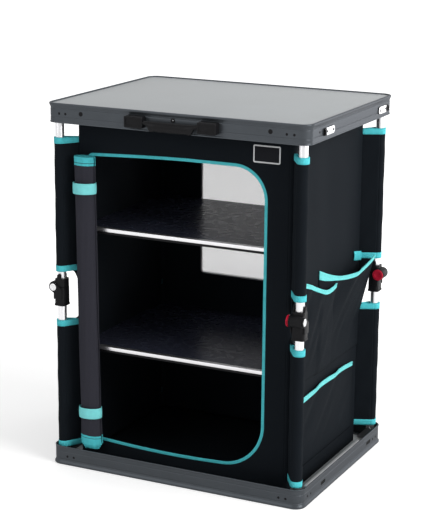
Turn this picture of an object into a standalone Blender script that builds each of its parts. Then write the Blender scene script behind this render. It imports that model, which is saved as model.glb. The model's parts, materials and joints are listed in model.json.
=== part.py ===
"""Folding camping cupboard: two rimmed trays on four folding legs, a sewn fabric body with a rolled
door and side pockets, two shelves, a carry handle and four closing latches.

Metres, +Z up, front towards -Y, origin in the middle of the base tray's underside. The legs stand
in a pinwheel: each one folds along its own side of the tray, with its knee offset to the outside.
"""

import math

import bmesh
import bpy
import numpy as np
from mathutils import Matrix, Vector

# Driving dimensions of the whole cupboard
WIDTH = 0.600
DEPTH = 0.470
HEIGHT = 0.800
FIT_GAP = 0.0003
RUNNING_GAP = 0.0006

# Trays: an aluminium rim profile round a flat panel
RIM_HEIGHT = 0.042
RIM_WALL = 0.002
RIM_LIP = 0.0025
RIM_CORNER_RADIUS = 0.024
RIM_FLARE = 0.0009
RIM_GROOVE_DEPTH = 0.0006
RIM_GROOVE_HEIGHT = 0.0022
LEDGE_WIDTH = 0.012
LEDGE_THICKNESS = 0.0015
PANEL_THICKNESS = 0.008
CLOSED_GAP = 0.001

# Legs
LEG_INSET = 0.022
TUBE_DIAMETER = 0.019
TUBE_WALL = 0.0012
TUBE_END = 0.0095
KNEE_OFFSET = 0.013
HINGE_PIN_RADIUS = 0.003

# Tray brackets that hold the ends of the legs
BRACKET_SHEET = 0.002
BRACKET_EYE_RADIUS = 0.0075
BRACKET_TOE = 0.026

# Knuckles: the lower half has two cheeks, the upper half turns between them
KNUCKLE_DEPTH = 0.024
KNUCKLE_TONGUE_WIDTH = 0.0264
KNUCKLE_CORNER_RADIUS = 0.006
KNUCKLE_LOWER_LENGTH = 0.041
KNUCKLE_UPPER_LENGTH = 0.0235
KNUCKLE_LOWER_SOCKET = 0.024
KNUCKLE_UPPER_SOCKET = 0.0155
KNUCKLE_COLLAR_HEIGHT = 0.004
KNUCKLE_COLLAR_PROUD = 0.0008
KNUCKLE_EAR_HEIGHT = 0.006
KNUCKLE_EAR_WIDTH = 0.005
CHEEK_THICKNESS = 0.0027
CHEEK_LENGTH = 0.026
PIN_HEAD_RADIUS = 0.0078
PIN_HEAD_THICKNESS = 0.0007
TONGUE_RADIUS = 0.0122
RIVET_BOSS_RADIUS = 0.0105
BUTTON_BOSS_RADIUS = 0.0128
BUTTON_BOSS_LENGTH = 0.0055
BUTTON_BOSS_STEP = 0.0006
BUTTON_RADIUS = 0.0103
BUTTON_THICKNESS = 0.003
BUTTON_TRAVEL = 0.0025
BUTTON_PROUD = 0.002
BUTTON_DISH_RADIUS = 0.006
BUTTON_DISH_DEPTH = 0.0008

# Carry handle on the front of the top tray
HANDLE_SPAN = 0.208
HANDLE_MOUNT_WIDTH = 0.042
HANDLE_MOUNT_HEIGHT = 0.024
HANDLE_MOUNT_DEPTH = 0.0175
HANDLE_MOUNT_BEVEL = 0.003
HANDLE_PIVOT_DROP = 0.023
HANDLE_PIVOT_PROUD = 0.012
HANDLE_STUB_RADIUS = 0.0035
HANDLE_STUB_DEPTH = 0.012
HANDLE_GRIP_RADIUS = 0.006
HANDLE_GRIP_DROP = 0.012
HANDLE_LEAD = 0.006
HANDLE_SHOULDER = 0.016

# Closing latches on both sides of the top tray, and their slots in the base tray
LATCH_FRONT_INSET = 0.121
LATCH_REAR_INSET = 0.083
LATCH_PIVOT_DROP = 0.025
LATCH_LENGTH = 0.039
LATCH_HALF_WIDTH = 0.0075
LATCH_THICKNESS = 0.0012
LATCH_BOSS_RADIUS = 0.004
LATCH_RIVET_RADIUS = 0.0028
LATCH_RIVET_PROUD = 0.0007
LATCH_HOLE_RADIUS = 0.0026
LATCH_TAB_DEPTH = 0.003
SLOT_LENGTH = 0.014
SLOT_HEIGHT = 0.0055
SLOT_DEPTH = 0.0012

# Guide strip inside the right wall of the base tray
STRIP_THICKNESS = 0.0046
STRIP_HEIGHT = 0.008
STRIP_PROUD = 0.002
STRIP_INSET = 0.035
STRIP_LENGTH = 0.300

# Shelves, hung in the fabric body
SHELF_THICKNESS = 0.006
SHELF_EDGE_HEIGHT = 0.009
SHELF_EDGE_DEPTH = 0.012
SHELF_EDGE_WALL = 0.001
SHELF_UPPER_Z = 0.532
SHELF_LOWER_Z = 0.270

# Fabric body
BODY_INSET_X = 0.050
BODY_INSET_Y = 0.045
CLOTH = 0.0025
BODY_CORNER_RADIUS = 0.010
TUNNEL_GAP = 0.0003
TUNNEL_WALL = 0.0022
WEB_THICKNESS = 0.003
TUNNEL_ABOVE_BASE_RIM = 0.002
TUNNEL_BELOW_KNEE = 0.074
TUNNEL_ABOVE_KNEE = 0.040
TUNNEL_BELOW_TOP_RIM = 0.031
OPENING_DOOR_INSET = 0.028
OPENING_FREE_INSET = 0.060
OPENING_BOTTOM = 0.060
OPENING_HEAD = 0.096
OPENING_CORNER_RADIUS = 0.070
OPENING_DOOR_RADIUS = 0.010
PIPING_RADIUS = 0.0016
WINDOW_WIDTH = 0.300
WINDOW_BOTTOM = 0.352
WINDOW_HEAD = 0.120
WINDOW_CORNER_RADIUS = 0.012
WINDOW_FILM = 0.0012

# Rolled door: a sheet wound into an oval roll beside the opening
ROLL_INSET = 0.033
ROLL_HALF_WIDTH = 0.027
ROLL_HALF_DEPTH = 0.0178
ROLL_SHEET = 0.0022
ROLL_SHEET_GAP = 0.0009
ROLL_TURNS = 3
ROLL_OVERHANG = 0.014
ROLL_DROP = 0.016
ROLL_CINCH = 0.06
STRAP_THICKNESS = 0.0015
STRAP_HEIGHT = 0.026
STRAP_UPPER_DROP = 0.066
STRAP_LOWER_RISE = 0.080

# Pockets on the right wall, the upper front one lapping over the upper rear one
POCKET_CLOTH = 0.0018
POCKET_MARGIN = 0.006
POCKET_LAP_START = 0.093
POCKET_LAP = 0.117
POCKET_LAP_RUN = 0.012
POCKET_LAYER_GAP = 0.0015
POCKET_UPPER_BOTTOM = 0.236
POCKET_FRONT_TOPS = (0.471, 0.428)
POCKET_FRONT_SAG = 0.030
POCKET_FRONT_BULGE = 0.009
POCKET_REAR_TOPS = (0.466, 0.448)
POCKET_REAR_SAG = 0.046
POCKET_REAR_BULGE = 0.012
POCKET_LOWER_BOTTOM = 0.070
POCKET_LOWER_TOP = 0.213
POCKET_LOWER_REAR_INSET = 0.070
POCKET_LOWER_SAG = 0.002
POCKET_LOWER_BULGE = 0.007

ROUND_STEPS = 16
SMALL_STEPS = 10
KNUCKLE_CORNER_STEPS = 3
TUNNEL_STEPS = 14
CORNER_STEPS = 5

# Places that follow from the sizes
WALL_X = WIDTH / 2 - RIM_LIP
WALL_Y = DEPTH / 2 - RIM_LIP
LEG_X = WIDTH / 2 - LEG_INSET
LEG_Y = DEPTH / 2 - LEG_INSET
PIN_Z = RIM_HEIGHT + CLOSED_GAP / 2 - KNEE_OFFSET
KNEE_Z = HEIGHT / 2
TUBE_RADIUS = TUBE_DIAMETER / 2
BRACKET_SEAT = PANEL_THICKNESS + LEDGE_THICKNESS + 2 * FIT_GAP
CHEEK_INNER = KNUCKLE_TONGUE_WIDTH / 2 + FIT_GAP
CHEEK_OUTER = CHEEK_INNER + CHEEK_THICKNESS
BUTTON_REST = CHEEK_INNER + BUTTON_BOSS_LENGTH + BUTTON_PROUD
BUTTON_FLOOR = BUTTON_REST - BUTTON_THICKNESS - BUTTON_TRAVEL - FIT_GAP
BODY_X = WIDTH / 2 - BODY_INSET_X
BODY_Y = DEPTH / 2 - BODY_INSET_Y
BODY_BOTTOM = PANEL_THICKNESS + FIT_GAP
BODY_TOP = HEIGHT - PANEL_THICKNESS - FIT_GAP
LATCH_LIFT = RIM_FLARE + FIT_GAP
LATCH_FRONT_Y = LATCH_FRONT_INSET - DEPTH / 2
LATCH_REAR_Y = DEPTH / 2 - LATCH_REAR_INSET
STRIP_START_Y = STRIP_INSET - DEPTH / 2
STRIP_END_Y = STRIP_START_Y + STRIP_LENGTH
TUNNEL_LOWER_START = RIM_HEIGHT + TUNNEL_ABOVE_BASE_RIM
TUNNEL_LOWER_END = KNEE_Z - TUNNEL_BELOW_KNEE
TUNNEL_UPPER_START = KNEE_Z + TUNNEL_ABOVE_KNEE
TUNNEL_UPPER_END = HEIGHT - RIM_HEIGHT - TUNNEL_BELOW_TOP_RIM
OPENING_TOP = HEIGHT - OPENING_HEAD
OPENING_DOOR_X = OPENING_DOOR_INSET - BODY_X
OPENING_FREE_X = BODY_X - OPENING_FREE_INSET
WINDOW_TOP = HEIGHT - WINDOW_HEAD
ROLL_CENTRE_X = ROLL_INSET - BODY_X
ROLL_BOTTOM = OPENING_BOTTOM - ROLL_OVERHANG
ROLL_TOP = OPENING_TOP - ROLL_DROP
STRAP_LOWER_Z = ROLL_BOTTOM + STRAP_LOWER_RISE
STRAP_UPPER_Z = ROLL_TOP - STRAP_UPPER_DROP
POCKET_START_Y = POCKET_MARGIN - BODY_Y
POCKET_END_Y = BODY_Y - POCKET_MARGIN
POCKET_REAR_START_Y = POCKET_START_Y + POCKET_LAP_START
POCKET_FRONT_END_Y = POCKET_REAR_START_Y + POCKET_LAP

LEGS = (
    ("front_left", -LEG_X, -LEG_Y, 0),
    ("front_right", LEG_X, -LEG_Y, 90),
    ("rear_right", LEG_X, LEG_Y, 180),
    ("rear_left", -LEG_X, LEG_Y, 270),
)


def clear_scene():
    for thing in list(bpy.data.objects):
        bpy.data.objects.remove(thing)


def make_collection(name):
    made = bpy.data.collections.new(name)
    bpy.context.scene.collection.children.link(made)
    return made


def make_material(name, colour, roughness, metallic=0.0):
    made = bpy.data.materials.new(name)
    made.diffuse_color = (*colour, 1)
    made.use_nodes = True
    shader = made.node_tree.nodes["Principled BSDF"]
    shader.inputs["Base Color"].default_value = (*colour, 1)
    shader.inputs["Roughness"].default_value = roughness
    shader.inputs["Metallic"].default_value = metallic
    return made


def place(thing, collection, parent=None, location=(0, 0, 0), rotation=(0, 0, 0)):
    collection.objects.link(thing)
    thing.parent = parent
    thing.location = location
    thing.rotation_euler = [math.radians(angle) for angle in rotation]
    return thing


def axis_empty(name, parent=None, location=(0, 0, 0), turn=0):
    """A joint's frame: its origin lies on the joint's axis."""
    empty = bpy.data.objects.new(name, None)
    empty.empty_display_size = 0.02
    return place(empty, CUTTERS, parent, location, (0, 0, turn))


def part(name, mesh, material, parent=None, location=(0, 0, 0), rotation=(0, 0, 0)):
    """One sub-part of the cupboard, shaded smooth where it is round."""
    thing = bpy.data.objects.new(name, mesh)
    place(thing, PARTS, parent, location, rotation)
    mesh.materials.clear()
    mesh.materials.append(material)
    mesh.shade_smooth()
    mesh.set_sharp_from_angle(angle=math.radians(32))
    return thing


def cut(target, mesh, operation="DIFFERENCE"):
    """Cuts a mesh from the target, or joins it. The mesh is given in the target's own frame."""
    tool = bpy.data.objects.new(target.name + "_" + operation.lower(), mesh)
    place(tool, CUTTERS, target)
    tool.hide_render = True
    tool.display_type = "WIRE"
    modifier = target.modifiers.new(operation.title(), "BOOLEAN")
    modifier.operation = operation
    modifier.object = tool


def mesh_from(bm, name="shape"):
    bmesh.ops.recalc_face_normals(bm, faces=bm.faces)
    mesh = bpy.data.meshes.new(name)
    bm.to_mesh(mesh)
    bm.free()
    return mesh


def box(low, high, bevel=0.0):
    """A box between two corners, with its edges rounded by bevel."""
    low, high = Vector(low), Vector(high)
    bm = bmesh.new()
    size = Matrix.Diagonal((*(high - low), 1))
    bmesh.ops.create_cube(bm, size=1, matrix=Matrix.Translation((low + high) / 2) @ size)
    if bevel:
        bmesh.ops.bevel(bm, geom=bm.edges[:], offset=bevel, segments=2, affect="EDGES", profile=0.5)
    return mesh_from(bm)


def cylinder(radius, start, end, steps=ROUND_STEPS, end_radius=None):
    """A cylinder or cone between two points."""
    start, end = Vector(start), Vector(end)
    along = end - start
    turn = along.to_track_quat("Z", "Y").to_matrix().to_4x4()
    bm = bmesh.new()
    bmesh.ops.create_cone(
        bm,
        cap_ends=True,
        segments=steps,
        radius1=radius,
        radius2=radius if end_radius is None else end_radius,
        depth=along.length,
        matrix=Matrix.Translation((start + end) / 2) @ turn,
    )
    return mesh_from(bm)


def arc(centre, radius, start, end, steps):
    """Points along an arc, angles in degrees."""
    angles = np.radians(np.linspace(start, end, steps + 1))
    return [(centre[0] + radius * math.cos(a), centre[1] + radius * math.sin(a)) for a in angles]


def rounded_rectangle(low, high, radius, steps=CORNER_STEPS):
    """A rectangle between two corners, anticlockwise, with round corners."""
    (x0, y0), (x1, y1) = low, high
    centres = ((x1 - radius, y0 + radius), (x1 - radius, y1 - radius))
    centres += ((x0 + radius, y1 - radius), (x0 + radius, y0 + radius))
    outline = []
    for index, centre in enumerate(centres):
        outline += arc(centre, radius, 90 * index - 90, 90 * index, steps)
    return outline


def centred_rectangle(half_x, half_y, radius, steps=CORNER_STEPS):
    return rounded_rectangle((-half_x, -half_y), (half_x, half_y), radius, steps)


def mesh_of(holder):
    """The evaluated mesh of a curve, its caps welded, and the curve removed."""
    bpy.context.view_layer.update()
    graph = bpy.context.evaluated_depsgraph_get()
    mesh = bpy.data.meshes.new_from_object(holder.evaluated_get(graph))
    bm = bmesh.new()
    bm.from_mesh(mesh)
    bmesh.ops.remove_doubles(bm, verts=bm.verts, dist=1e-6)
    bpy.data.objects.remove(holder)
    return mesh_from(bm)


def poly_curve(outlines, dimensions="2D", cyclic=True):
    """A curve object with one straight-sided spline for each outline."""
    curve = bpy.data.curves.new("outline", "CURVE")
    curve.dimensions = dimensions
    for outline in outlines:
        spline = curve.splines.new("POLY")
        spline.points.add(len(outline) - 1)
        for point, place_at in zip(spline.points, outline):
            point.co = (*place_at, 1) if len(place_at) == 3 else (*place_at, 0, 1)
        spline.use_cyclic_u = cyclic
    holder = bpy.data.objects.new("outline", curve)
    CUTTERS.objects.link(holder)
    return holder


def plate(outline, low, high, axis="Z", holes=()):
    """A flat outline, with holes, that fills low to high along an axis.

    The outline's two numbers are x and y for axis Z, x and z for Y, y and z for X.
    """
    holder = poly_curve([outline, *holes])
    holder.data.fill_mode = "BOTH"
    holder.data.extrude = (high - low) / 2
    mesh = mesh_of(holder)
    mesh.transform(Matrix.Translation((0, 0, (low + high) / 2)))
    if axis == "Y":
        mesh.transform(Matrix(((1, 0, 0, 0), (0, 0, 1, 0), (0, 1, 0, 0), (0, 0, 0, 1))))
        mesh.flip_normals()
    if axis == "X":
        mesh.transform(Matrix(((0, 0, 1, 0), (1, 0, 0, 0), (0, 1, 0, 0), (0, 0, 0, 1))))
    return mesh


def swept_ring(outline, profile):
    """A closed profile carried round a flat closed outline. Profile x points out, y points up."""
    path = poly_curve([outline])
    path.data.twist_mode = "Z_UP"
    section = poly_curve([[(-out, up) for out, up in profile]])
    path.data.bevel_mode = "OBJECT"
    path.data.bevel_object = section
    mesh = mesh_of(path)
    bpy.data.objects.remove(section)
    return mesh


def turned(name, profile, material, parent, location=(0, 0, 0), steps=ROUND_STEPS):
    """A profile of (radius, height) points turned about its own Z axis."""
    bm = bmesh.new()
    ring = [bm.verts.new((radius, 0, height)) for radius, height in profile]
    for first, second in zip(ring, ring[1:] + ring[:1]):
        bm.edges.new((first, second))
    mesh = bpy.data.meshes.new(name)
    bm.to_mesh(mesh)
    bm.free()
    thing = part(name, mesh, material, parent, location)
    screw = thing.modifiers.new("Turn", "SCREW")
    screw.steps = screw.render_steps = steps
    screw.use_merge_vertices = True
    screw.merge_threshold = 1e-6
    return thing


# Trays


def groove(height):
    """A shallow groove in the rim's outer face, from its lower edge up."""
    half = RIM_GROOVE_HEIGHT / 2
    slope = RIM_GROOVE_DEPTH
    return [
        (0, height - half),
        (-slope, height - half + slope),
        (-slope, height + half - slope),
        (0, height + half),
    ]


def rim_profile():
    """The rim's section, x out from the wall's outer face and y up from the open edge to the panel."""
    seat = RIM_HEIGHT - PANEL_THICKNESS - FIT_GAP
    lip_start = RIM_HEIGHT - 2.6 * RIM_LIP
    head = RIM_WALL + FIT_GAP
    outer = [(-RIM_WALL, 0), (RIM_FLARE, 0), (RIM_FLARE, 2.4 * RIM_FLARE), (0, 3.6 * RIM_FLARE)]
    outer += groove(RIM_HEIGHT * 0.29) + groove(RIM_HEIGHT * 0.72)
    outer += [(0, lip_start), (RIM_LIP, lip_start + RIM_LIP), (RIM_LIP, RIM_HEIGHT - RIM_LIP / 2)]
    outer += [(RIM_LIP / 2, RIM_HEIGHT)]
    inner = [(-head, RIM_HEIGHT), (-head, seat), (-RIM_WALL - LEDGE_WIDTH, seat)]
    inner += [(-RIM_WALL - LEDGE_WIDTH, seat - LEDGE_THICKNESS), (-RIM_WALL, seat - LEDGE_THICKNESS)]
    return outer + inner


def tray(name, parent, base):
    """A rim and its panel. The base tray is the top tray turned over."""
    path = centred_rectangle(WALL_X, WALL_Y, RIM_CORNER_RADIUS - RIM_LIP)
    profile = rim_profile()
    if base:
        profile = [(out, RIM_HEIGHT - up) for out, up in profile]
        profile.reverse()
    floor = 0 if base else HEIGHT - RIM_HEIGHT
    rim = part(name + "_rim", swept_ring(path, profile), RIM_METAL, parent, (0, 0, floor))
    inset = RIM_WALL + 2 * FIT_GAP
    outline = centred_rectangle(WALL_X - inset, WALL_Y - inset, RIM_CORNER_RADIUS - RIM_LIP - inset)
    low = 0 if base else HEIGHT - PANEL_THICKNESS
    part(name + "_panel", plate(outline, low, low + PANEL_THICKNESS), PANEL_GREY, parent)
    return rim


def latch_slots(rim):
    """Shallow slots in the base rim, where the ends of the closed latches snap in."""
    closed_pivot = 2 * RIM_HEIGHT + CLOSED_GAP - LATCH_PIVOT_DROP
    height = closed_pivot - LATCH_LENGTH
    for y in (LATCH_FRONT_Y, LATCH_REAR_Y):
        low = (y - SLOT_LENGTH / 2, height - SLOT_HEIGHT / 2)
        high = (y + SLOT_LENGTH / 2, height + SLOT_HEIGHT / 2)
        outline = rounded_rectangle(low, high, SLOT_HEIGHT * 0.45, 3)
        for side in (-1, 1):
            ends = sorted((side * (WALL_X - SLOT_DEPTH), side * (WALL_X + RIM_LIP)))
            cut(rim, plate(outline, *ends, axis="X"))


def bracket_outline():
    """The bracket's side view: a sole on the tray and a round eye about the hinge pin."""
    rise = PIN_Z - BRACKET_SEAT
    outline = [(-BRACKET_EYE_RADIUS, 0), (BRACKET_TOE, 0), (BRACKET_TOE, 1.4 * BRACKET_SHEET)]
    outline += arc((0, rise), BRACKET_EYE_RADIUS, 30, 180, 6)
    return outline


def bracket(name, parent, location, turn, upside_down):
    """A folded sheet bracket: a sole and two eyes, with the hinge pin across them."""
    half = TUBE_RADIUS + RUNNING_GAP + BRACKET_SHEET
    tip = (180, 0, turn) if upside_down else (0, 0, turn)
    thing = part(name, plate(bracket_outline(), -half, half, "Y"), BRACKET_METAL, parent, location, tip)
    inside = half - BRACKET_SHEET
    reach = 2 * BRACKET_TOE
    cut(thing, box((-reach, -inside, BRACKET_SHEET), (reach, inside, PIN_Z + reach)))
    across = half + PIN_HEAD_THICKNESS
    rise = PIN_Z - BRACKET_SEAT
    pin = cylinder(HINGE_PIN_RADIUS, (0, -across, rise), (0, across, rise), SMALL_STEPS)
    cut(thing, pin, "UNION")


def guide_strip(parent):
    """The strip inside the right wall that the closed top tray's rim is guided by."""
    face = WALL_X - RIM_WALL - FIT_GAP
    top = RIM_HEIGHT + STRIP_PROUD
    low = (STRIP_START_Y, top - STRIP_HEIGHT)
    outline = rounded_rectangle(low, (STRIP_END_Y, top), STRIP_HEIGHT * 0.4, 4)
    part("guide_strip", plate(outline, face - STRIP_THICKNESS, face, "X"), BRACKET_METAL, parent)


# Legs


def tube(name, parent, low, high, pin_height):
    """A round leg tube between two heights, with the holes for its hinge pin."""
    inner = TUBE_RADIUS - TUBE_WALL
    profile = [(TUBE_RADIUS, high), (TUBE_RADIUS, low), (inner, low), (inner, high)]
    thing = turned(name, profile, TUBE_METAL, parent)
    radius = HINGE_PIN_RADIUS + FIT_GAP
    hole = cylinder(radius, (0, -TUBE_DIAMETER, pin_height), (0, TUBE_DIAMETER, pin_height), SMALL_STEPS)
    cut(thing, hole)


def knuckle_body(low, high, half_width):
    half_depth = KNUCKLE_DEPTH / 2
    outline = centred_rectangle(half_depth, half_width, KNUCKLE_CORNER_RADIUS, KNUCKLE_CORNER_STEPS)
    return plate(outline, low, high)


def cheek(radius, low, high):
    """A cheek's outline: round about the pivot, running down into the side of the knuckle."""
    side = KNUCKLE_DEPTH / 2
    outline = arc((-KNEE_OFFSET, 0), radius, 55, 195, 7)
    outline += [(-side, -CHEEK_LENGTH), (0.7 * side, -CHEEK_LENGTH), (0.7 * side, -radius * 0.4)]
    return plate(outline, low, high, "Y")


def across_knee(radius, low, high, steps=ROUND_STEPS):
    return cylinder(radius, (-KNEE_OFFSET, low, 0), (-KNEE_OFFSET, high, 0), steps)


def lower_knuckle(name, parent, height):
    """The lower half: a socket for the tube and two cheeks that carry the pivot and the lock button."""
    half = CHEEK_INNER + RUNNING_GAP
    bottom = -KNUCKLE_LOWER_LENGTH
    mesh = knuckle_body(bottom, -FIT_GAP / 2, half)
    thing = part(name, mesh, KNUCKLE_PLASTIC, parent, (0, 0, height))
    proud = KNUCKLE_COLLAR_PROUD
    half_depth = KNUCKLE_DEPTH / 2 + proud
    outline = centred_rectangle(half_depth, half + proud, KNUCKLE_CORNER_RADIUS, KNUCKLE_CORNER_STEPS)
    cut(thing, plate(outline, bottom, bottom + KNUCKLE_COLLAR_HEIGHT), "UNION")
    cut(thing, across_knee(TONGUE_RADIUS + RUNNING_GAP, -CHEEK_INNER, CHEEK_INNER))
    cut(thing, cheek(RIVET_BOSS_RADIUS, -CHEEK_OUTER, -CHEEK_INNER), "UNION")
    cut(thing, cheek(BUTTON_BOSS_RADIUS, CHEEK_INNER, CHEEK_OUTER), "UNION")
    boss_end = CHEEK_INNER + BUTTON_BOSS_LENGTH
    cut(thing, across_knee(BUTTON_BOSS_RADIUS - BUTTON_BOSS_STEP, CHEEK_INNER + FIT_GAP, boss_end), "UNION")
    cut(thing, across_knee(BUTTON_RADIUS + FIT_GAP, BUTTON_FLOOR, boss_end + BUTTON_TRAVEL))
    reach = CHEEK_OUTER + BUTTON_BOSS_LENGTH
    cut(thing, across_knee(HINGE_PIN_RADIUS + FIT_GAP, -reach, reach, SMALL_STEPS))
    socket = -KNUCKLE_LOWER_LENGTH + KNUCKLE_LOWER_SOCKET
    low, high = (0, 0, bottom - KNUCKLE_COLLAR_HEIGHT), (0, 0, socket)
    cut(thing, cylinder(TUBE_RADIUS + FIT_GAP, low, high))


def upper_knuckle(name, parent, height):
    """The upper half: a socket for the tube, a round tongue about the pivot and two small ears."""
    half = KNUCKLE_TONGUE_WIDTH / 2
    top = KNUCKLE_UPPER_LENGTH
    thing = part(name, knuckle_body(FIT_GAP / 2, top, half), KNUCKLE_PLASTIC, parent, (0, 0, height))
    cut(thing, across_knee(TONGUE_RADIUS, -half, half), "UNION")
    side = KNUCKLE_DEPTH / 2
    ear = [(-side, 0.6 * top), (-side + KNUCKLE_EAR_WIDTH, 0.6 * top)]
    ear += [(-side + 0.7 * KNUCKLE_EAR_WIDTH, top + KNUCKLE_EAR_HEIGHT)]
    ear += [(-side, top + KNUCKLE_EAR_HEIGHT * 0.8)]
    flat = KNUCKLE_CORNER_RADIUS * 1.4
    inner_edge = TUBE_RADIUS * 0.35
    for sign in (-1, 1):
        ends = sorted((sign * inner_edge, sign * (half - flat * 0.6)))
        cut(thing, plate(ear, *ends, axis="Y"), "UNION")
    reach = 2 * half
    cut(thing, across_knee(HINGE_PIN_RADIUS + FIT_GAP, -reach, reach, SMALL_STEPS))
    low = (0, 0, top - KNUCKLE_UPPER_SOCKET)
    high = (0, 0, top + 2 * KNUCKLE_EAR_HEIGHT)
    cut(thing, cylinder(TUBE_RADIUS + FIT_GAP, low, high))


def knee_pin(name, parent, height):
    """The steel rivet through the knuckle, with its bright head on the side away from the button."""
    face = -CHEEK_OUTER - FIT_GAP
    start = face - PIN_HEAD_THICKNESS / 2
    shank = across_knee(HINGE_PIN_RADIUS, start, BUTTON_FLOOR - FIT_GAP, SMALL_STEPS)
    thing = part(name, shank, PIN_METAL, parent, (0, 0, height))
    centre = (-KNEE_OFFSET, face - PIN_HEAD_THICKNESS, 0)
    head = cylinder(PIN_HEAD_RADIUS * 0.9, centre, (-KNEE_OFFSET, face, 0), ROUND_STEPS, PIN_HEAD_RADIUS)
    cut(thing, head, "UNION")


def lock_button(name, parent, height):
    """The red button that frees the knee, pushed in along the pivot. It has a dished face."""
    mesh = across_knee(BUTTON_RADIUS, BUTTON_REST - BUTTON_THICKNESS, BUTTON_REST)
    thing = part(name, mesh, BUTTON_RED, parent, (0, 0, height))
    start = (-KNEE_OFFSET, BUTTON_REST - BUTTON_DISH_DEPTH, 0)
    end = (-KNEE_OFFSET, BUTTON_REST + BUTTON_DISH_DEPTH, 0)
    cut(thing, cylinder(BUTTON_DISH_RADIUS * 0.7, start, end, ROUND_STEPS, BUTTON_DISH_RADIUS * 1.3))


def leg(where, x, y, turn, root):
    """One folding leg. Its frames stand on the base pin, the knee and the top pin."""
    lower = axis_empty("lower_leg_" + where, root, (x, y, PIN_Z), turn)
    knee = KNEE_Z - PIN_Z
    socket_top = knee - KNUCKLE_LOWER_LENGTH + KNUCKLE_LOWER_SOCKET - FIT_GAP
    tube("lower_tube_" + where, lower, -TUBE_END, socket_top, 0)
    lower_knuckle("lower_knuckle_" + where, lower, knee)
    knee_pin("knee_pin_" + where, lower, knee)
    lock_button("lock_button_" + where, lower, knee)
    upper = axis_empty("upper_leg_" + where, lower, (0, 0, knee))
    socket_low = KNUCKLE_UPPER_LENGTH - KNUCKLE_UPPER_SOCKET + FIT_GAP
    top_pin = HEIGHT - PIN_Z - KNEE_Z
    tube("upper_tube_" + where, upper, socket_low, top_pin + TUBE_END, top_pin)
    upper_knuckle("upper_knuckle_" + where, upper, 0)


# Handle and latches


def handle(top):
    """Two moulded mounts and a grip that swings up on stubs inside them."""
    pivot = axis_empty("handle_pivot", top, (0, -WALL_Y - HANDLE_PIVOT_PROUD, HEIGHT - HANDLE_PIVOT_DROP))
    inner = HANDLE_SPAN / 2 - HANDLE_MOUNT_WIDTH
    half = HANDLE_MOUNT_HEIGHT / 2
    back = HANDLE_PIVOT_PROUD - FIT_GAP
    for where, side in (("left", -1), ("right", 1)):
        ends = sorted((side * inner, side * HANDLE_SPAN / 2))
        low = (ends[0], back - HANDLE_MOUNT_DEPTH, -half)
        block = box(low, (ends[1], back, half), HANDLE_MOUNT_BEVEL)
        thing = part("handle_mount_" + where, block, HANDLE_PLASTIC, pivot)
        near = (side * (inner - HANDLE_SHOULDER), 0, 0)
        far = (side * (inner + HANDLE_STUB_DEPTH + FIT_GAP), 0, 0)
        cut(thing, cylinder(HANDLE_STUB_RADIUS + FIT_GAP, near, far, SMALL_STEPS))
    grip = part("handle_grip", grip_mesh(inner), HANDLE_PLASTIC, pivot)
    stub_end = inner + HANDLE_STUB_DEPTH
    for side in (-1, 1):
        near, far = (side * (inner - HANDLE_SHOULDER), 0, 0), (side * stub_end, 0, 0)
        cut(grip, cylinder(HANDLE_STUB_RADIUS, near, far, SMALL_STEPS), "UNION")


def grip_mesh(inner):
    """The grip: a round bar that dips from the stubs to a level middle, thicker where it is held."""
    reach = inner - RUNNING_GAP
    across = np.linspace(-reach, reach, 19)
    ramp = np.clip((reach - HANDLE_LEAD - np.abs(across)) / HANDLE_SHOULDER, 0, 1)
    dip = HANDLE_GRIP_DROP * (3 * ramp**2 - 2 * ramp**3)
    holder = poly_curve([[(x, 0, -z) for x, z in zip(across, dip)]], "3D", cyclic=False)
    curve = holder.data
    curve.bevel_depth = HANDLE_GRIP_RADIUS
    curve.bevel_resolution = 2
    curve.use_fill_caps = True
    for point, share in zip(curve.splines[0].points, ramp):
        point.radius = 0.75 + 0.25 * share
    return mesh_of(holder)


def latch(name, top, side, y, direction):
    """A flat latch plate, level along the rim, that turns down about the rivet at its inner end."""
    height = HEIGHT - LATCH_PIVOT_DROP
    pivot = axis_empty(name + "_pivot", top, (side * WALL_X, y, height))
    ends = sorted((side * LATCH_LIFT, side * (LATCH_LIFT + LATCH_THICKNESS)))
    low = min(0, direction * LATCH_LENGTH) - LATCH_HALF_WIDTH
    high = max(0, direction * LATCH_LENGTH) + LATCH_HALF_WIDTH
    half_width = LATCH_HALF_WIDTH
    outline = rounded_rectangle((low, -half_width), (high, half_width), half_width * 0.95, 4)
    hole = arc((direction * LATCH_LENGTH, 0), LATCH_HOLE_RADIUS, 320, 0, 8)
    thing = part(name, plate(outline, *ends, axis="X", holes=[hole]), LATCH_METAL, pivot)
    boss = (side * FIT_GAP, 0, 0), (side * (LATCH_LIFT + LATCH_THICKNESS / 2), 0, 0)
    cut(thing, cylinder(LATCH_BOSS_RADIUS, *boss, SMALL_STEPS), "UNION")
    outer = LATCH_LIFT + LATCH_THICKNESS
    rivet = (side * outer * 0.8, 0, 0), (side * (outer + LATCH_RIVET_PROUD), 0, 0)
    cut(thing, cylinder(LATCH_RIVET_RADIUS, *rivet, SMALL_STEPS), "UNION")
    tip = direction * (LATCH_LENGTH + LATCH_HALF_WIDTH)
    tab_y = sorted((tip - direction * 2 * LATCH_THICKNESS, tip - direction * LATCH_THICKNESS))
    tab_x = sorted((side * (outer - LATCH_THICKNESS / 2), side * (outer + LATCH_TAB_DEPTH)))
    half = LATCH_HALF_WIDTH * 0.5
    tab = box((tab_x[0], tab_y[0], -half), (tab_x[1], tab_y[1], half))
    cut(thing, tab, "UNION")


# Shelves


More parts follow.
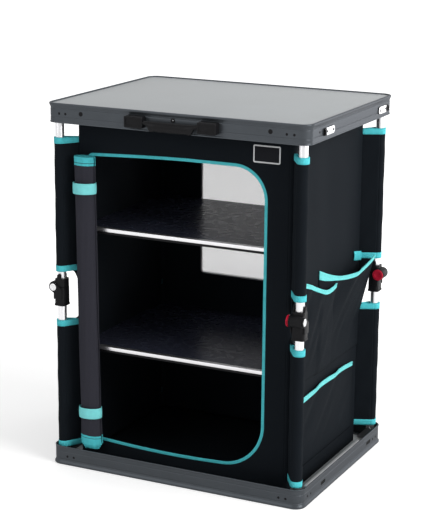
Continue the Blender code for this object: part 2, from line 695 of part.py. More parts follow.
def shelf(where, surface, root):
    """A board with an aluminium channel along its front edge. The frame stands at the surface."""
    frame = axis_empty("shelf_frame_" + where, root, (0, 0, surface))
    half_x = BODY_X - CLOTH - FIT_GAP
    half_y = BODY_Y - CLOTH - FIT_GAP
    wall = SHELF_EDGE_WALL + FIT_GAP
    corner = BODY_CORNER_RADIUS - CLOTH
    low, high = (-half_x, -half_y + wall), (half_x, half_y)
    board = plate(rounded_rectangle(low, high, corner, 3), -wall - SHELF_THICKNESS, -wall)
    part("shelf_" + where, board, SHELF_BLACK, frame)
    front, back = -half_y, -half_y + SHELF_EDGE_DEPTH
    bottom = -2 * wall - SHELF_THICKNESS
    skirt = -SHELF_EDGE_HEIGHT
    thick = SHELF_EDGE_WALL
    channel = [(front, 0), (front, skirt), (front + thick, skirt), (front + thick, bottom)]
    channel += [(back, bottom), (back, bottom + thick), (front + thick, bottom + thick)]
    channel += [(front + thick, -thick), (back, -thick), (back, 0)]
    reach = half_x - corner
    part("shelf_edge_" + where, plate(channel, -reach, reach, "X"), EDGE_METAL, frame)


# Fabric body


def wall_ring():
    outer = centred_rectangle(BODY_X, BODY_Y, BODY_CORNER_RADIUS, 4)
    inner = centred_rectangle(BODY_X - CLOTH, BODY_Y - CLOTH, BODY_CORNER_RADIUS - CLOTH, 4)
    return plate(outer, BODY_BOTTOM, BODY_TOP, holes=[inner])


def tunnel(x, y, low, high):
    """The sewn tunnel round one leg tube and the web that joins it to the corner of the body."""
    bore = TUBE_RADIUS + TUNNEL_GAP
    outer = bore + TUNNEL_WALL
    inset = BODY_CORNER_RADIUS
    corner = Vector((math.copysign(BODY_X - inset, x) - x, math.copysign(BODY_Y - inset, y) - y))
    heading = math.degrees(math.atan2(corner.y, corner.x))
    spread = math.degrees(math.asin(WEB_THICKNESS / 2 / outer))
    reach = corner.length - inset + CLOTH / 2
    ring = arc((0, 0), outer, heading + spread, heading + 360 - spread, TUNNEL_STEPS)
    side = Vector((-corner.y, corner.x)).normalized() * WEB_THICKNESS / 2
    end = corner.normalized() * reach
    ring += [tuple(end - side), tuple(end + side)]
    hole = arc((0, 0), bore, 0, 360 - 360 / ROUND_STEPS, ROUND_STEPS - 1)
    mesh = plate(ring, low, high, holes=[hole])
    mesh.transform(Matrix.Translation((x, y, 0)))
    return mesh


def opening_outline(inset):
    """The doorway, drawn in by an inset: wide corners at its free side, tight ones where the door is sewn."""
    free = OPENING_CORNER_RADIUS - inset
    sewn = OPENING_DOOR_RADIUS - inset
    low, high = OPENING_BOTTOM + OPENING_CORNER_RADIUS, OPENING_TOP - OPENING_CORNER_RADIUS
    free_x = OPENING_FREE_X - OPENING_CORNER_RADIUS
    outline = arc((free_x, low), free, -90, 0, CORNER_STEPS)
    outline += arc((free_x, high), free, 0, 90, CORNER_STEPS)
    low, high = OPENING_BOTTOM + OPENING_DOOR_RADIUS, OPENING_TOP - OPENING_DOOR_RADIUS
    sewn_x = OPENING_DOOR_X + OPENING_DOOR_RADIUS
    outline += arc((sewn_x, high), sewn, 90, 180, CORNER_STEPS)
    outline += arc((sewn_x, low), sewn, 180, 270, CORNER_STEPS)
    return outline


def fabric_body(root):
    """The sewn body: four walls, the door opening, the rear window and eight leg tunnels."""
    thing = part("fabric_body", wall_ring(), FABRIC_BLACK, root)
    cut(thing, plate(opening_outline(0), -2 * BODY_Y, 0, "Y"))
    half = WINDOW_WIDTH / 2
    window = rounded_rectangle((-half, WINDOW_BOTTOM), (half, WINDOW_TOP), WINDOW_CORNER_RADIUS)
    cut(thing, plate(window, 0, 2 * BODY_Y, "Y"))
    for _, x, y, _ in LEGS:
        cut(thing, tunnel(x, y, TUNNEL_LOWER_START, TUNNEL_LOWER_END), "UNION")
        cut(thing, tunnel(x, y, TUNNEL_UPPER_START, TUNNEL_UPPER_END), "UNION")


def rear_window(root):
    half = WINDOW_WIDTH / 2 - FIT_GAP
    low, high = (-half, WINDOW_BOTTOM + FIT_GAP), (half, WINDOW_TOP - FIT_GAP)
    outline = rounded_rectangle(low, high, WINDOW_CORNER_RADIUS - FIT_GAP)
    middle = BODY_Y - CLOTH / 2
    film = plate(outline, middle - WINDOW_FILM / 2, middle + WINDOW_FILM / 2, "Y")
    part("rear_window", film, WINDOW_PALE, root)


def opening_piping(root):
    """The piping round the door opening."""
    outline = opening_outline(PIPING_RADIUS + FIT_GAP)
    face = -BODY_Y + CLOTH - PIPING_RADIUS
    holder = poly_curve([[(x, face, z) for x, z in outline]], "3D")
    holder.data.bevel_depth = PIPING_RADIUS
    holder.data.bevel_resolution = 1
    part("opening_piping", mesh_of(holder), TRIM_TURQUOISE, root)


def strap_ring(extra):
    """An oval round the drawn-in roll, extra outside its surface."""
    angles = np.linspace(0, 2 * math.pi, 24, endpoint=False)
    half_width = ROLL_HALF_WIDTH * (1 - ROLL_CINCH) + extra
    half_depth = ROLL_HALF_DEPTH * (1 - ROLL_CINCH) + extra
    return [(half_width * math.cos(angle), half_depth * math.sin(angle)) for angle in angles]


def roll_centre_y():
    """The straps lie against the piping, which stands proud of the body, and the roll lies inside them."""
    behind = ROLL_HALF_DEPTH * (1 - ROLL_CINCH) + FIT_GAP + STRAP_THICKNESS
    proud = 2 * PIPING_RADIUS - CLOTH
    return -BODY_Y - proud - FIT_GAP - behind


def roll_section():
    """The wound sheet seen from above: out along one face of the spiral and back along the other."""
    turns = np.linspace(0, 2 * math.pi * ROLL_TURNS, 12 * ROLL_TURNS + 1)
    inward = (ROLL_SHEET + ROLL_SHEET_GAP) * turns / (2 * math.pi)
    faces = []
    for depth in (inward, inward + ROLL_SHEET):
        x = (ROLL_HALF_WIDTH - depth) * np.cos(turns)
        y = (ROLL_HALF_DEPTH - depth) * np.sin(turns)
        faces.append(np.column_stack((x, y)))
    return np.concatenate((faces[0], faces[1][::-1]))


def door_roll(root):
    """The door wound up beside its opening, drawn in where the straps hold it."""
    section = roll_section()
    heights = [ROLL_BOTTOM]
    cinched = [1.0]
    reach = STRAP_HEIGHT * 1.6
    for strap in (STRAP_LOWER_Z, STRAP_UPPER_Z):
        heights += [strap - reach, strap - STRAP_HEIGHT / 2, strap + STRAP_HEIGHT / 2, strap + reach]
        cinched += [1.0, 1 - ROLL_CINCH, 1 - ROLL_CINCH, 1.0]
    heights.append(ROLL_TOP)
    cinched.append(1.0)
    bm = bmesh.new()
    ring = [bm.verts.new((x, y, 0)) for x, y in section]
    face = bm.faces.new(ring)
    levels = [ring]
    for _ in heights[1:]:
        made = bmesh.ops.extrude_face_region(bm, geom=[face])["geom"]
        if len(levels) > 1:
            bmesh.ops.delete(bm, geom=[face], context="FACES_ONLY")
        face = next(item for item in made if isinstance(item, bmesh.types.BMFace))
        levels.append([loop.vert for loop in face.loops])
    for level, height, scale in zip(levels, heights, cinched):
        for vert in level:
            vert.co = (vert.co.x * scale, vert.co.y * scale, height)
    mesh = mesh_from(bm)
    part("door_roll", mesh, ROLL_GREY, root, (ROLL_CENTRE_X, roll_centre_y(), 0))


def roll_strap(name, middle, root):
    """A strap that goes round the roll and holds it against the body."""
    half = STRAP_HEIGHT / 2
    outer, inner = strap_ring(FIT_GAP + STRAP_THICKNESS), strap_ring(FIT_GAP)
    band = plate(outer, middle - half, middle + half, holes=[inner])
    part(name, band, TRIM_TURQUOISE, root, (ROLL_CENTRE_X, roll_centre_y(), 0))


def pocket_top(shape, y):
    """The height of a pocket's slack top edge: a line between its two ends, less a half sine."""
    start, end, _, tops, sag, _ = shape
    across = (y - start) / (end - start)
    return tops[0] + (tops[1] - tops[0]) * across - sag * math.sin(math.pi * across)


def pocket_belly(shape, y, z):
    """How far a pocket's cloth stands off the wall: a half sine across it times the root of the height."""
    start, end, bottom, _, _, bulge = shape
    inside = min(max(y, start), end)
    across = (inside - start) / (end - start)
    up = (z - bottom) / (pocket_top(shape, inside) - bottom)
    return bulge * math.sin(math.pi * across) * min(max(up, 0), 1) ** 0.6


def pocket(name, shape, rows, root, beneath=None):
    """A pocket front sewn to the right wall along three sides. Where it laps over the pocket beneath, it
    lies outside that pocket's cloth."""
    start, end, bottom, *_ = shape
    bm = bmesh.new()
    bmesh.ops.create_grid(bm, x_segments=10, y_segments=rows, size=0.5)
    for vert in bm.verts:
        y = start + (end - start) * (vert.co.x + 0.5)
        z = bottom + (pocket_top(shape, y) - bottom) * (vert.co.y + 0.5)
        x = BODY_X + FIT_GAP + pocket_belly(shape, y, z)
        if beneath:
            lap = min(max((y - beneath[0]) / POCKET_LAP_RUN + 2, 0), 1)
            x += pocket_belly(beneath, y, z) + lap * (POCKET_CLOTH + POCKET_LAYER_GAP)
        vert.co = (x, y, z)
    mesh = mesh_from(bm, name)
    if mesh.polygons[0].normal.x < 0:
        mesh.flip_normals()
    thing = part(name, mesh, FABRIC_BLACK, root)
    cloth = thing.modifiers.new("Cloth", "SOLIDIFY")
    cloth.thickness = POCKET_CLOTH
    cloth.offset = 1


def pockets(root):
    """Each pocket's shape is its two ends along y, its bottom, its end heights, its sag and its bulge."""
    upper, lower = POCKET_UPPER_BOTTOM, POCKET_LOWER_BOTTOM
    rear_end = BODY_Y - POCKET_LOWER_REAR_INSET
    level = POCKET_LOWER_TOP, POCKET_LOWER_TOP
    front = POCKET_START_Y, POCKET_FRONT_END_Y, upper, POCKET_FRONT_TOPS, POCKET_FRONT_SAG, POCKET_FRONT_BULGE
    rear = POCKET_REAR_START_Y, POCKET_END_Y, upper, POCKET_REAR_TOPS, POCKET_REAR_SAG, POCKET_REAR_BULGE
    low = POCKET_START_Y, rear_end, lower, level, POCKET_LOWER_SAG, POCKET_LOWER_BULGE
    pocket("pocket_front", front, 6, root, rear)
    pocket("pocket_rear", rear, 6, root)
    pocket("pocket_lower", low, 3, root)


clear_scene()
PARTS = make_collection("camping_cupboard")
CUTTERS = make_collection("cutters")

RIM_METAL = make_material("dark_rim_aluminium", (0.075, 0.082, 0.088), 0.38, 0.85)
PANEL_GREY = make_material("grey_table_laminate", (0.33, 0.35, 0.36), 0.42)
BRACKET_METAL = make_material("bright_bracket", (0.62, 0.63, 0.64), 0.32, 0.9)
TUBE_METAL = make_material("leg_aluminium", (0.82, 0.82, 0.83), 0.28, 0.9)
KNUCKLE_PLASTIC = make_material("knuckle_plastic", (0.012, 0.012, 0.013), 0.45)
PIN_METAL = make_material("rivet_steel", (0.72, 0.72, 0.73), 0.25, 1.0)
BUTTON_RED = make_material("button_red", (0.42, 0.012, 0.03), 0.35)
HANDLE_PLASTIC = make_material("handle_plastic", (0.012, 0.013, 0.015), 0.35)
LATCH_METAL = make_material("latch_steel", (0.78, 0.79, 0.8), 0.25, 1.0)
SHELF_BLACK = make_material("shelf_board", (0.02, 0.021, 0.023), 0.5)
EDGE_METAL = make_material("shelf_edge_aluminium", (0.85, 0.85, 0.86), 0.25, 0.9)
FABRIC_BLACK = make_material("black_fabric", (0.009, 0.011, 0.014), 0.85)
ROLL_GREY = make_material("door_fabric", (0.03, 0.03, 0.036), 0.85)
WINDOW_PALE = make_material("window_mesh", (0.58, 0.58, 0.6), 0.6)
TRIM_TURQUOISE = make_material("turquoise_trim", (0.06, 0.56, 0.6), 0.7)

base = axis_empty("base_frame")
top = axis_empty("top_frame")
base_rim = tray("base", base, base=True)
latch_slots(base_rim)
tray("top", top, base=False)
guide_strip(base)
for where, x, y, turn in LEGS:
    bracket("base_bracket_" + where, base, (x, y, BRACKET_SEAT), turn, False)
    bracket("top_bracket_" + where, top, (x, y, HEIGHT - BRACKET_SEAT), turn, True)
    leg(where, x, y, turn, base)
handle(top)
for side_name, side in (("left", -1), ("right", 1)):
    latch("latch_front_" + side_name, top, side, LATCH_FRONT_Y, -1)
    latch("latch_rear_" + side_name, top, side, LATCH_REAR_Y, 1)
shelf("upper", SHELF_UPPER_Z, base)
shelf("lower", SHELF_LOWER_Z, base)
fabric_body(base)
rear_window(base)
opening_piping(base)
door_roll(base)
roll_strap("roll_strap_upper", STRAP_UPPER_Z, base)
roll_strap("roll_strap_lower", STRAP_LOWER_Z, base)
pockets(base)
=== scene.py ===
import json
import math

import bmesh
import bpy
import numpy as np
from mathutils import Matrix, Vector

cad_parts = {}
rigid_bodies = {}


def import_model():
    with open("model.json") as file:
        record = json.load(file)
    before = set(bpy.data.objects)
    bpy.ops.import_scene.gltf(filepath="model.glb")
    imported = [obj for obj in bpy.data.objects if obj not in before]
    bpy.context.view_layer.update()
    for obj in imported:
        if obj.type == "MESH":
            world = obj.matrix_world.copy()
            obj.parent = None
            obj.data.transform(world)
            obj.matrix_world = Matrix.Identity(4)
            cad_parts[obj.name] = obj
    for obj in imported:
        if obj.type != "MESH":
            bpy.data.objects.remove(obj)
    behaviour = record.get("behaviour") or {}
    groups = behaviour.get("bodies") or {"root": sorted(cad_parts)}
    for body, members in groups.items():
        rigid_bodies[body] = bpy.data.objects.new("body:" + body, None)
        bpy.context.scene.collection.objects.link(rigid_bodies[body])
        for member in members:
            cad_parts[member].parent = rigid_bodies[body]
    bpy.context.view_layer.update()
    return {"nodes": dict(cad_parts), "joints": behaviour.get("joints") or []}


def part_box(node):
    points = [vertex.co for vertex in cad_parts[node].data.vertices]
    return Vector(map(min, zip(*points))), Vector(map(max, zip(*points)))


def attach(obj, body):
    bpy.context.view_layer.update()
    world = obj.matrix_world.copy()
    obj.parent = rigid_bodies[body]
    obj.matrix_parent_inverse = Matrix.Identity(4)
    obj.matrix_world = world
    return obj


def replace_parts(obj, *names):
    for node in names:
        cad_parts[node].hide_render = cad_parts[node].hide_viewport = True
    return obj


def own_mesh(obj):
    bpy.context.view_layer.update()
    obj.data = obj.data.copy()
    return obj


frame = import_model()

bl_info = {
    "name": "Folding camping cupboard",
    "version": (1, 0, 0),
    "blender": (4, 5, 0),
    "location": "3D View > Sidebar > Cupboard",
    "description": "Dresses the packed cupboard: rims, legs, cloth body, rolled door, pockets and fittings",
    "category": "Object",
}

HINGES = {joint["name"]: np.array(joint["pos_m"]) for joint in frame["joints"] if "pos_m" in joint}
CORNERS = ("front_left", "front_right", "rear_right", "rear_left")
FULL_TURN = 2 * math.pi

MERGE = 1e-6  # points that lie closer are one point
BORE_GAP = 0.0003  # between a tube and the bore it stands in
PIN_GAP = 0.0004  # between a stub or a button and its hole
OVERLAP = 0.0002  # how far moulded forms that are one piece reach into each other
RIVET_BACK = 0.0006  # how far a rivet's back lies behind the face it is set in
LATCH_LIFT = 0.0012  # from the rim's face to the back of a latch plate
WEAVE, TAPE_RIBS, TAPE_THREADS, MESH_HOLES = 0.0009, 0.0011, 0.0007, 0.0011  # from thread to thread
THREAD_EDGE, HOLE_CLEAR = 0.24, 0.90  # where the mesh's threads end, and how clear its holes are
ROLL_TURNS, ROLL_STEPS = 3.6, 230

# Rivets and plugs in the rims, read off the photograph: places along the front and along the sides, level
TOP_RIVETS = (-0.266, -0.250, 0.252, 0.267), (-0.179, -0.159, 0.159, 0.179), 0.7780
BASE_RIVETS = (-0.263, -0.247, 0.243, 0.259), (-0.197, -0.180, 0.180, 0.197), 0.0195
TOP_PLUGS = (-0.215, 0.215), (), 0.7805
HANDLE_WASHER_LEVEL = 0.7845
PATCH_LOW, PATCH_HIGH = (0.160, 0.7080), (0.2195, 0.7440)

# The photograph's height and focal length in pixels, and where its lines say that the camera stood
PHOTO_HEIGHT, FOCAL_LENGTH, SENSOR_MM = 527, 1635.3, 36
CAMERA_PLACE = (1.506207, -3.119144, 1.326499)
CAMERA_YAW, CAMERA_PITCH, CAMERA_ROLL = 0.451014, 0.251801, 0.009649
LIT_POINT = (0, 0, 0.4)
WORLD_LIGHT = 0.40


def corners_of(node):
    """A node's lowest and highest corners at rest."""
    low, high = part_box(node)
    return np.array(low), np.array(high)


BODY_LOW, BODY_HIGH = corners_of("fabric_body")
RIM_LOW, RIM_HIGH = corners_of("top_rim")
BASE_LOW, BASE_HIGH = corners_of("base_rim")
WINDOW_LOW, WINDOW_HIGH = corners_of("rear_window")
WINDOW_LOW = WINDOW_LOW + (0.006, 0, 0.003)  # the wall covers the mesh's left edge and foot
OPENING_LOW, OPENING_HIGH = corners_of("opening_piping")
ROLL_LOW, ROLL_HIGH = corners_of("door_roll")

# The cloth's outer faces: just inside the side pockets, and just inside the doorway's binding
BODY_HALF_X = float(corners_of("pocket_front")[0][0]) - 0.0003
BODY_HALF_Y = -float(OPENING_LOW[1]) - 0.0007


# Sizes and colours that a user would change


def length(name, description, default):
    """A length in metres."""
    return bpy.props.FloatProperty(
        name=name, description=description, default=default, precision=4, subtype="DISTANCE", unit="LENGTH"
    )


def colour(name, description, default):
    """A colour as linear red, green and blue."""
    return bpy.props.FloatVectorProperty(
        name=name, description=description, default=default, size=3, min=0, max=1, subtype="COLOR"
    )


class TraySizes(bpy.types.PropertyGroup):
    """Trays"""

    wall: length("Rim wall", "Thickness of the rim's sheet", 0.002)
    lip: length("Rim lip", "How far the lip stands out from the wall", 0.0025)
    flare: length("Rim flare", "How far the open edge stands out from the wall", 0.0009)
    corner: length("Rim corner", "Radius of the rim's corners, at the lip", 0.024)
    groove_depth: length("Groove depth", "Depth of the two grooves in the rim", 0.0006)
    groove_height: length("Groove height", "Height of each groove", 0.0022)
    panel: length("Panel", "Thickness of the panel that the rim holds", 0.008)
    sunk: length("Sunk panel", "How far the table's face lies below the rim's edge", 0.0024)
    ledge_width: length("Ledge width", "Width of the ledge under the panel", 0.012)
    ledge: length("Ledge", "Thickness of the ledge", 0.0015)
    rivet: length("Rivet radius", "Radius of the small rivets in the rim", 0.0027)
    rivet_proud: length("Rivet height", "How far a rivet's head stands out", 0.0006)
    plug: length("Plug radius", "Radius of the black plugs in the top rim", 0.0048)
    slot_length: length("Slot length", "Length of a latch slot in the base rim", 0.025)
    slot_height: length("Slot height", "Height of a latch slot", 0.0080)
    slot_depth: length("Slot depth", "Depth of a latch slot", 0.0012)


class LegSizes(bpy.types.PropertyGroup):
    """Legs"""

    wall: length("Tube wall", "Wall of a leg tube", 0.0012)
    half_depth: length("Knuckle half depth", "Half of a knuckle's depth across the pivot", 0.012)
    half_width: length("Knuckle half width", "Half of a knuckle's width along the pivot", 0.0141)
    corner: length("Knuckle corner", "Radius of a knuckle's upright edges", 0.006)
    edge: length("Knuckle edge", "Rounding of a knuckle's other edges", 0.0008)
    cheek_inner: length("Cheek inner face", "From the middle plane to a cheek's inner face", 0.0135)
    cheek: length("Cheek", "Thickness of a cheek", 0.0027)
    cheek_length: length("Cheek length", "How far a cheek runs down from the pivot", 0.026)
    rivet_boss: length("Rivet boss", "Radius of the cheek round the rivet", 0.0105)
    button_boss: length("Button boss", "Radius of the cheek round the button", 0.0128)
    boss_length: length("Boss length", "Length of the button's boss and the cap's travel", 0.0055)
    cap: length("Cap thickness", "Thickness of the lock button's cap", 0.0024)
    tab_width: length("Tab width", "Width of the two tabs beside the upper tube", 0.010)
    tongue: length("Tongue", "Radius of the upper half's tongue", 0.0122)
    button: length("Button", "Radius of the lock button's shank", 0.0103)
    button_cap: length("Button cap", "Radius of the lock button's cap", 0.0124)
    button_proud: length("Button height", "How far the button stands out of its boss", 0.002)
    dish: length("Button dish", "Depth of the hollow in the button's face", 0.0009)
    pin_head: length("Pin head", "Radius of the knee rivet's bright head", 0.0078)
    crimp: length("Crimp rivet", "Radius of the rivet that holds the upper tube in its knuckle", 0.0034)


class FittingSizes(bpy.types.PropertyGroup):
    """Handle and latches"""

    grip_depth: length("Grip half depth", "Half of the grip's depth in its middle", 0.0059)
    grip_end: length("Grip end", "Radius of the grip at its ends", 0.0044)
    shoulder: length("Grip shoulder", "Length of the grip's sloping ends", 0.010)
    lead: length("Grip lead", "Length of the grip's level ends", 0.006)
    stub_radius: length("Stub radius", "Radius of the grip's stubs", 0.0035)
    stub: length("Stub length", "Length of each stub inside its mount", 0.012)
    mount_edge: length("Mount edge", "Rounding of the handle mounts", 0.003)
    latch_half_width: length("Latch half width", "Half the width of a latch plate", 0.0075)
    latch: length("Latch", "Thickness of a latch plate", 0.0012)
    latch_hole: length("Latch hole", "Radius of the hole near a latch's outer end", 0.0030)
    latch_tip: length("Latch tip", "Length of the black finger tip on a latch", 0.0105)
    latch_rivet: length("Latch rivet", "Radius of the rivet that a latch turns on", 0.0034)


class ClothSizes(bpy.types.PropertyGroup):
    """Cloth"""

    cloth: length("Cloth", "Thickness of the body's cloth", 0.0012)
    corner: length("Body corner", "Radius of the body's upright corners", 0.010)
    opening_corner: length("Opening corner", "Radius of the door opening's corners at its free side", 0.070)
    sewn_corner: length("Sewn corner", "Radius of the opening's corners where the door is sewn on", 0.010)
    window_corner: length("Window corner", "Radius of the window's corners", 0.006)
    fold: length("Fold depth", "Depth of the soft folds in the walls", 0.0022)
    sleeve: length("Sleeve radius", "Radius of a leg's sleeve round its tube", 0.0115)
    band: length("Band height", "Height of the turquoise bands at the sleeves' ends", 0.0128)
    band_cloth: length("Band thickness", "Thickness of a turquoise band with the cloth inside it", 0.0024)
    tail: length("Sleeve tail", "Height of the cloth that runs from a sleeve's end into the corner", 0.036)
    binding: length("Binding width", "Width of the binding round the door opening", 0.0068)
    pocket_binding: length("Pocket binding", "Width of the binding along a pocket's top", 0.0095)


class DoorSizes(bpy.types.PropertyGroup):
    """Rolled door"""

    sheet: length("Door sheet", "Thickness of the door's cloth in the roll", 0.0016)
    gap: length("Roll gap", "Gap between the roll's turns", 0.0012)
    cinch: length("Cinch", "How far the straps draw the roll in", 0.0003)
    upper_hem: length("Upper hem", "Height of the turquoise hem at the roll's upper end", 0.0185)
    lower_hem: length("Lower hem", "Height of the turquoise hem at the roll's lower end", 0.0215)
    strap: length("Strap", "Thickness of a roll strap", 0.0012)
    lean: length("Lean", "How far the roll leans to the left at its top and to the right at its foot", 0.0055)
    stepped: length("Stepped end", "How much lower each inner turn ends at the roll's foot", 0.0046)


class Colours(bpy.types.PropertyGroup):
    """Colours"""

    rim: colour("Rim", "Dark grey anodised aluminium", (0.060, 0.067, 0.075))
    panel: colour("Panel", "Grey laminate", (0.30, 0.318, 0.328))
    bright: colour("Bright metal", "Tubes and shelf edges", (0.72, 0.715, 0.73))
    steel: colour("Steel", "Latches, rivets and brackets", (0.68, 0.68, 0.69))
    plastic: colour("Plastic", "Knuckles, handle and plugs", (0.007, 0.007, 0.008))
    button: colour("Button", "Crimson lock buttons", (0.44, 0.012, 0.035))
    shelf: colour("Shelf", "Dark navy laminated boards", (0.028, 0.031, 0.048))
    fabric: colour("Fabric", "Black body cloth", (0.0056, 0.0076, 0.0102))
    door: colour("Door", "Grey violet door cloth", (0.031, 0.031, 0.041))
    window: colour("Window", "Pale window mesh", (0.62, 0.61, 0.66))
    trim: colour("Trim", "Turquoise bands and bindings", (0.070, 0.55, 0.61))
    strap: colour("Strap", "Paler turquoise of the straps", (0.23, 0.80, 0.84))


GROUPS = {
    "cupboard_trays": TraySizes,
    "cupboard_legs": LegSizes,
    "cupboard_fittings": FittingSizes,
    "cupboard_cloth": ClothSizes,
    "cupboard_door": DoorSizes,
    "cupboard_colours": Colours,
}


# Mesh helpers


class Shape:
    """Surfaces gathered into one mesh: points, faces and each point's place on the flat cloth."""

    def __init__(self):
        self.points = np.empty((0, 3))
        self.flat = np.empty((0, 2))
        self.faces = []

    def add(self, points, faces, flat=None):
        """Adds points and the faces between them, which count their points from 0."""
        flat = np.zeros((len(points), 2)) if flat is None else flat
        self.faces += (np.asarray(faces) + len(self.points)).tolist()
        self.points = np.concatenate((self.points, points))
        self.flat = np.concatenate((self.flat, flat))
        return self

    def join(self, other):
        """Adds another shape."""
        self.faces += [[corner + len(self.points) for corner in face] for face in other.faces]
        return self.add(other.points, np.empty((0, 4), int), other.flat)

    def grid(self, points, flat=None):
        """Quads between neighbours in a rows by columns grid. A closed grid repeats its first line at its
        end."""
        rows, columns = points.shape[:2]
        index = np.arange(rows * columns).reshape(rows, columns)
        quads = np.stack((index[:-1, :-1], index[:-1, 1:], index[1:, 1:], index[1:, :-1]), -1)
        flat = None if flat is None else flat.reshape(-1, 2)
        return self.add(points.reshape(-1, 3), quads.reshape(-1, 4), flat)

    def lids(self, grid):
        """Flat faces over the first and last rows of a grid whose rows are closed."""
        for ring in (grid[0, :-1], grid[-1, :-1]):
            self.add(ring, np.arange(len(ring))[None])
        return self

    def mesh(self, name):
        """The mesh with doubled points merged and its faces turned outwards."""
        made = bpy.data.meshes.new(name)
        made.from_pydata(self.points.tolist(), [], self.faces)
        layer = made.uv_layers.new(name="Cloth")
        points = np.empty(len(made.loops), dtype=np.int32)
        made.loops.foreach_get("vertex_index", points)
        layer.data.foreach_set("uv", self.flat[points].ravel())
        bm = bmesh.new()
        bm.from_mesh(made)
        bmesh.ops.remove_doubles(bm, verts=bm.verts, dist=MERGE)
        bmesh.ops.recalc_face_normals(bm, faces=bm.faces)
        bm.to_mesh(made)
        bm.free()
        return made


def add_piece(name, made, look, body, sharp=35):
    """A piece at the origin, made of a shape or a mesh. It rides on a body, in its finish."""
    mesh = made.mesh(name) if isinstance(made, Shape) else made
    thing = bpy.data.objects.new(name, mesh)
    bpy.context.scene.collection.objects.link(thing)
    mesh.materials.clear()
    mesh.materials.append(finish(look))
    mesh.shade_smooth()
    mesh.set_sharp_from_angle(angle=math.radians(sharp))
    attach(thing, body)
    return thing


def thicken(thing, thickness):
    """Gives a cloth surface its thickness, half to each side."""
    solid = thing.modifiers.new("Cloth", "SOLIDIFY")
    solid.thickness = thickness
    solid.offset = 0
    return thing


def crumple(thing):
    """Gives a soft piece a mesh of its own."""
    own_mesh(thing)
    return thing


def draw_up(thing):
    """Gives a lower sleeve a mesh of its own."""
    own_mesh(thing)
    return thing


def soften(corners, radius, steps=4):
    """A closed outline with each corner rounded: a quadratic blend from a point before it to a point
    after it, each one radius away or just under half of its side."""
    corners = np.asarray(corners, float)
    before, after = np.roll(corners, 1, 0) - corners, np.roll(corners, -1, 0) - corners
    sides = []
    for side in (before, after):
        size = np.linalg.norm(side, axis=1, keepdims=True)
        sides.append(corners + side / size * np.minimum(radius, 0.45 * size))
    share = np.linspace(0, 1, steps + 1)[None, :, None]
    start, end = sides[0][:, None], sides[1][:, None]
    blend = (1 - share) ** 2 * start + 2 * share * (1 - share) * corners[:, None] + share**2 * end
    return blend.reshape(-1, 2)


def round_frame(low, high, radii, steps, runs=1, square=False):
    """Points round a rectangle, anticlockwise from its lower right corner, and their outward directions. A
    corner is a circle's quarter, or, where square, the same rays carried out to the square round it."""
    (x0, y0), (x1, y1) = low, high
    radii = np.broadcast_to(radii, 4)[:, None]
    corners = np.array(((x1, y0), (x1, y1), (x0, y1), (x0, y0)))
    centres = corners + radii * ((-1, 1), (-1, -1), (1, -1), (1, 1))
    angles = np.radians(np.linspace(-90, 0, steps + 1) + np.arange(4)[:, None] * 90)
    rays = np.stack((np.cos(angles), np.sin(angles)), -1)
    reach = rays / np.abs(rays).max(-1, keepdims=True) if square else rays
    turns = centres[:, None] + radii[:, None] * reach
    share = (np.arange(1, runs) / runs)[None, :, None]
    straights = turns[:, -1:] * (1 - share) + np.roll(turns, -1, 0)[:, :1] * share
    points = np.concatenate((turns, straights), 1).reshape(-1, 2)
    directions = np.concatenate((rays, np.repeat(rays[:, -1:], runs - 1, 1)), 1).reshape(-1, 2)
    return points, directions


def closed(points):
    """The same line of points with its first repeated at its end."""
    return np.concatenate((points, points[:1]))


def travelled(points):
    """The length along a line of points, at each of them."""
    steps = np.linalg.norm(np.diff(points, axis=0), axis=1)
    return np.concatenate(([0], np.cumsum(steps)))


def carried(path, out, up, section):
    """A closed section carried along a closed path: path point plus the section's first number times out,
    plus its second number times up."""
    path, out, section = closed(path), closed(out), closed(section)
    up = np.broadcast_to(up, out.shape)
    points = path[:, None] + out[:, None] * section[None, :, :1] + up[:, None] * section[None, :, 1:]
    flat = np.stack(np.meshgrid(travelled(path), travelled(section), indexing="ij"), -1)
    return Shape().grid(points, flat)


def slab(outline, low, high, axis, edge=0.0, steps=3):
    """An outline filled from low to high, or high to low, along an axis, its edges rounded: the outline
    drawn in and lifted along a quarter circle at both ends. The outline's two numbers are x and y for Z, x
    and z for Y, y and z for X."""
    low, high = sorted((low, high))
    outline = np.asarray(outline, float)
    along = np.roll(outline, -1, 0) - np.roll(outline, 1, 0)
    out = np.stack((along[:, 1], -along[:, 0]), -1)
    out /= np.maximum(np.linalg.norm(out, axis=1, keepdims=True), 1e-12)
    angles = np.linspace(0, math.pi / 2, steps + 1) if edge else np.array([0.0])
    inset = edge * (1 - np.sin(angles))
    lift = edge * (1 - np.cos(angles))
    inset = np.concatenate((inset, inset[::-1]))
    level = np.concatenate((low + lift, (high - lift)[::-1]))
    rings = outline[None] - out[None] * inset[:, None, None]
    rings = np.concatenate((rings, rings[:, :1]), 1)
    level = np.broadcast_to(level[:, None], rings.shape[:2])
    order = {"Z": (0, 1, 2), "Y": (0, 2, 1), "X": (2, 0, 1)}[axis]
    points = np.stack((rings[..., 0], rings[..., 1], level), -1)[..., order]
    return Shape().grid(points).lids(points)


def arc(centre, radius, start, end, steps):
    """Points along an arc, angles in degrees."""
    angles = np.radians(np.linspace(start, end, steps + 1))
    return np.asarray(centre) + radius * np.stack((np.cos(angles), np.sin(angles)), -1)


def rod(centre, radius, low, high, axis, steps=24, edge=0.0):
    """A round rod along an axis, its ends rounded."""
    return slab(arc(centre, radius, 0, 360 - 360 / steps, steps - 1), low, high, axis, edge)


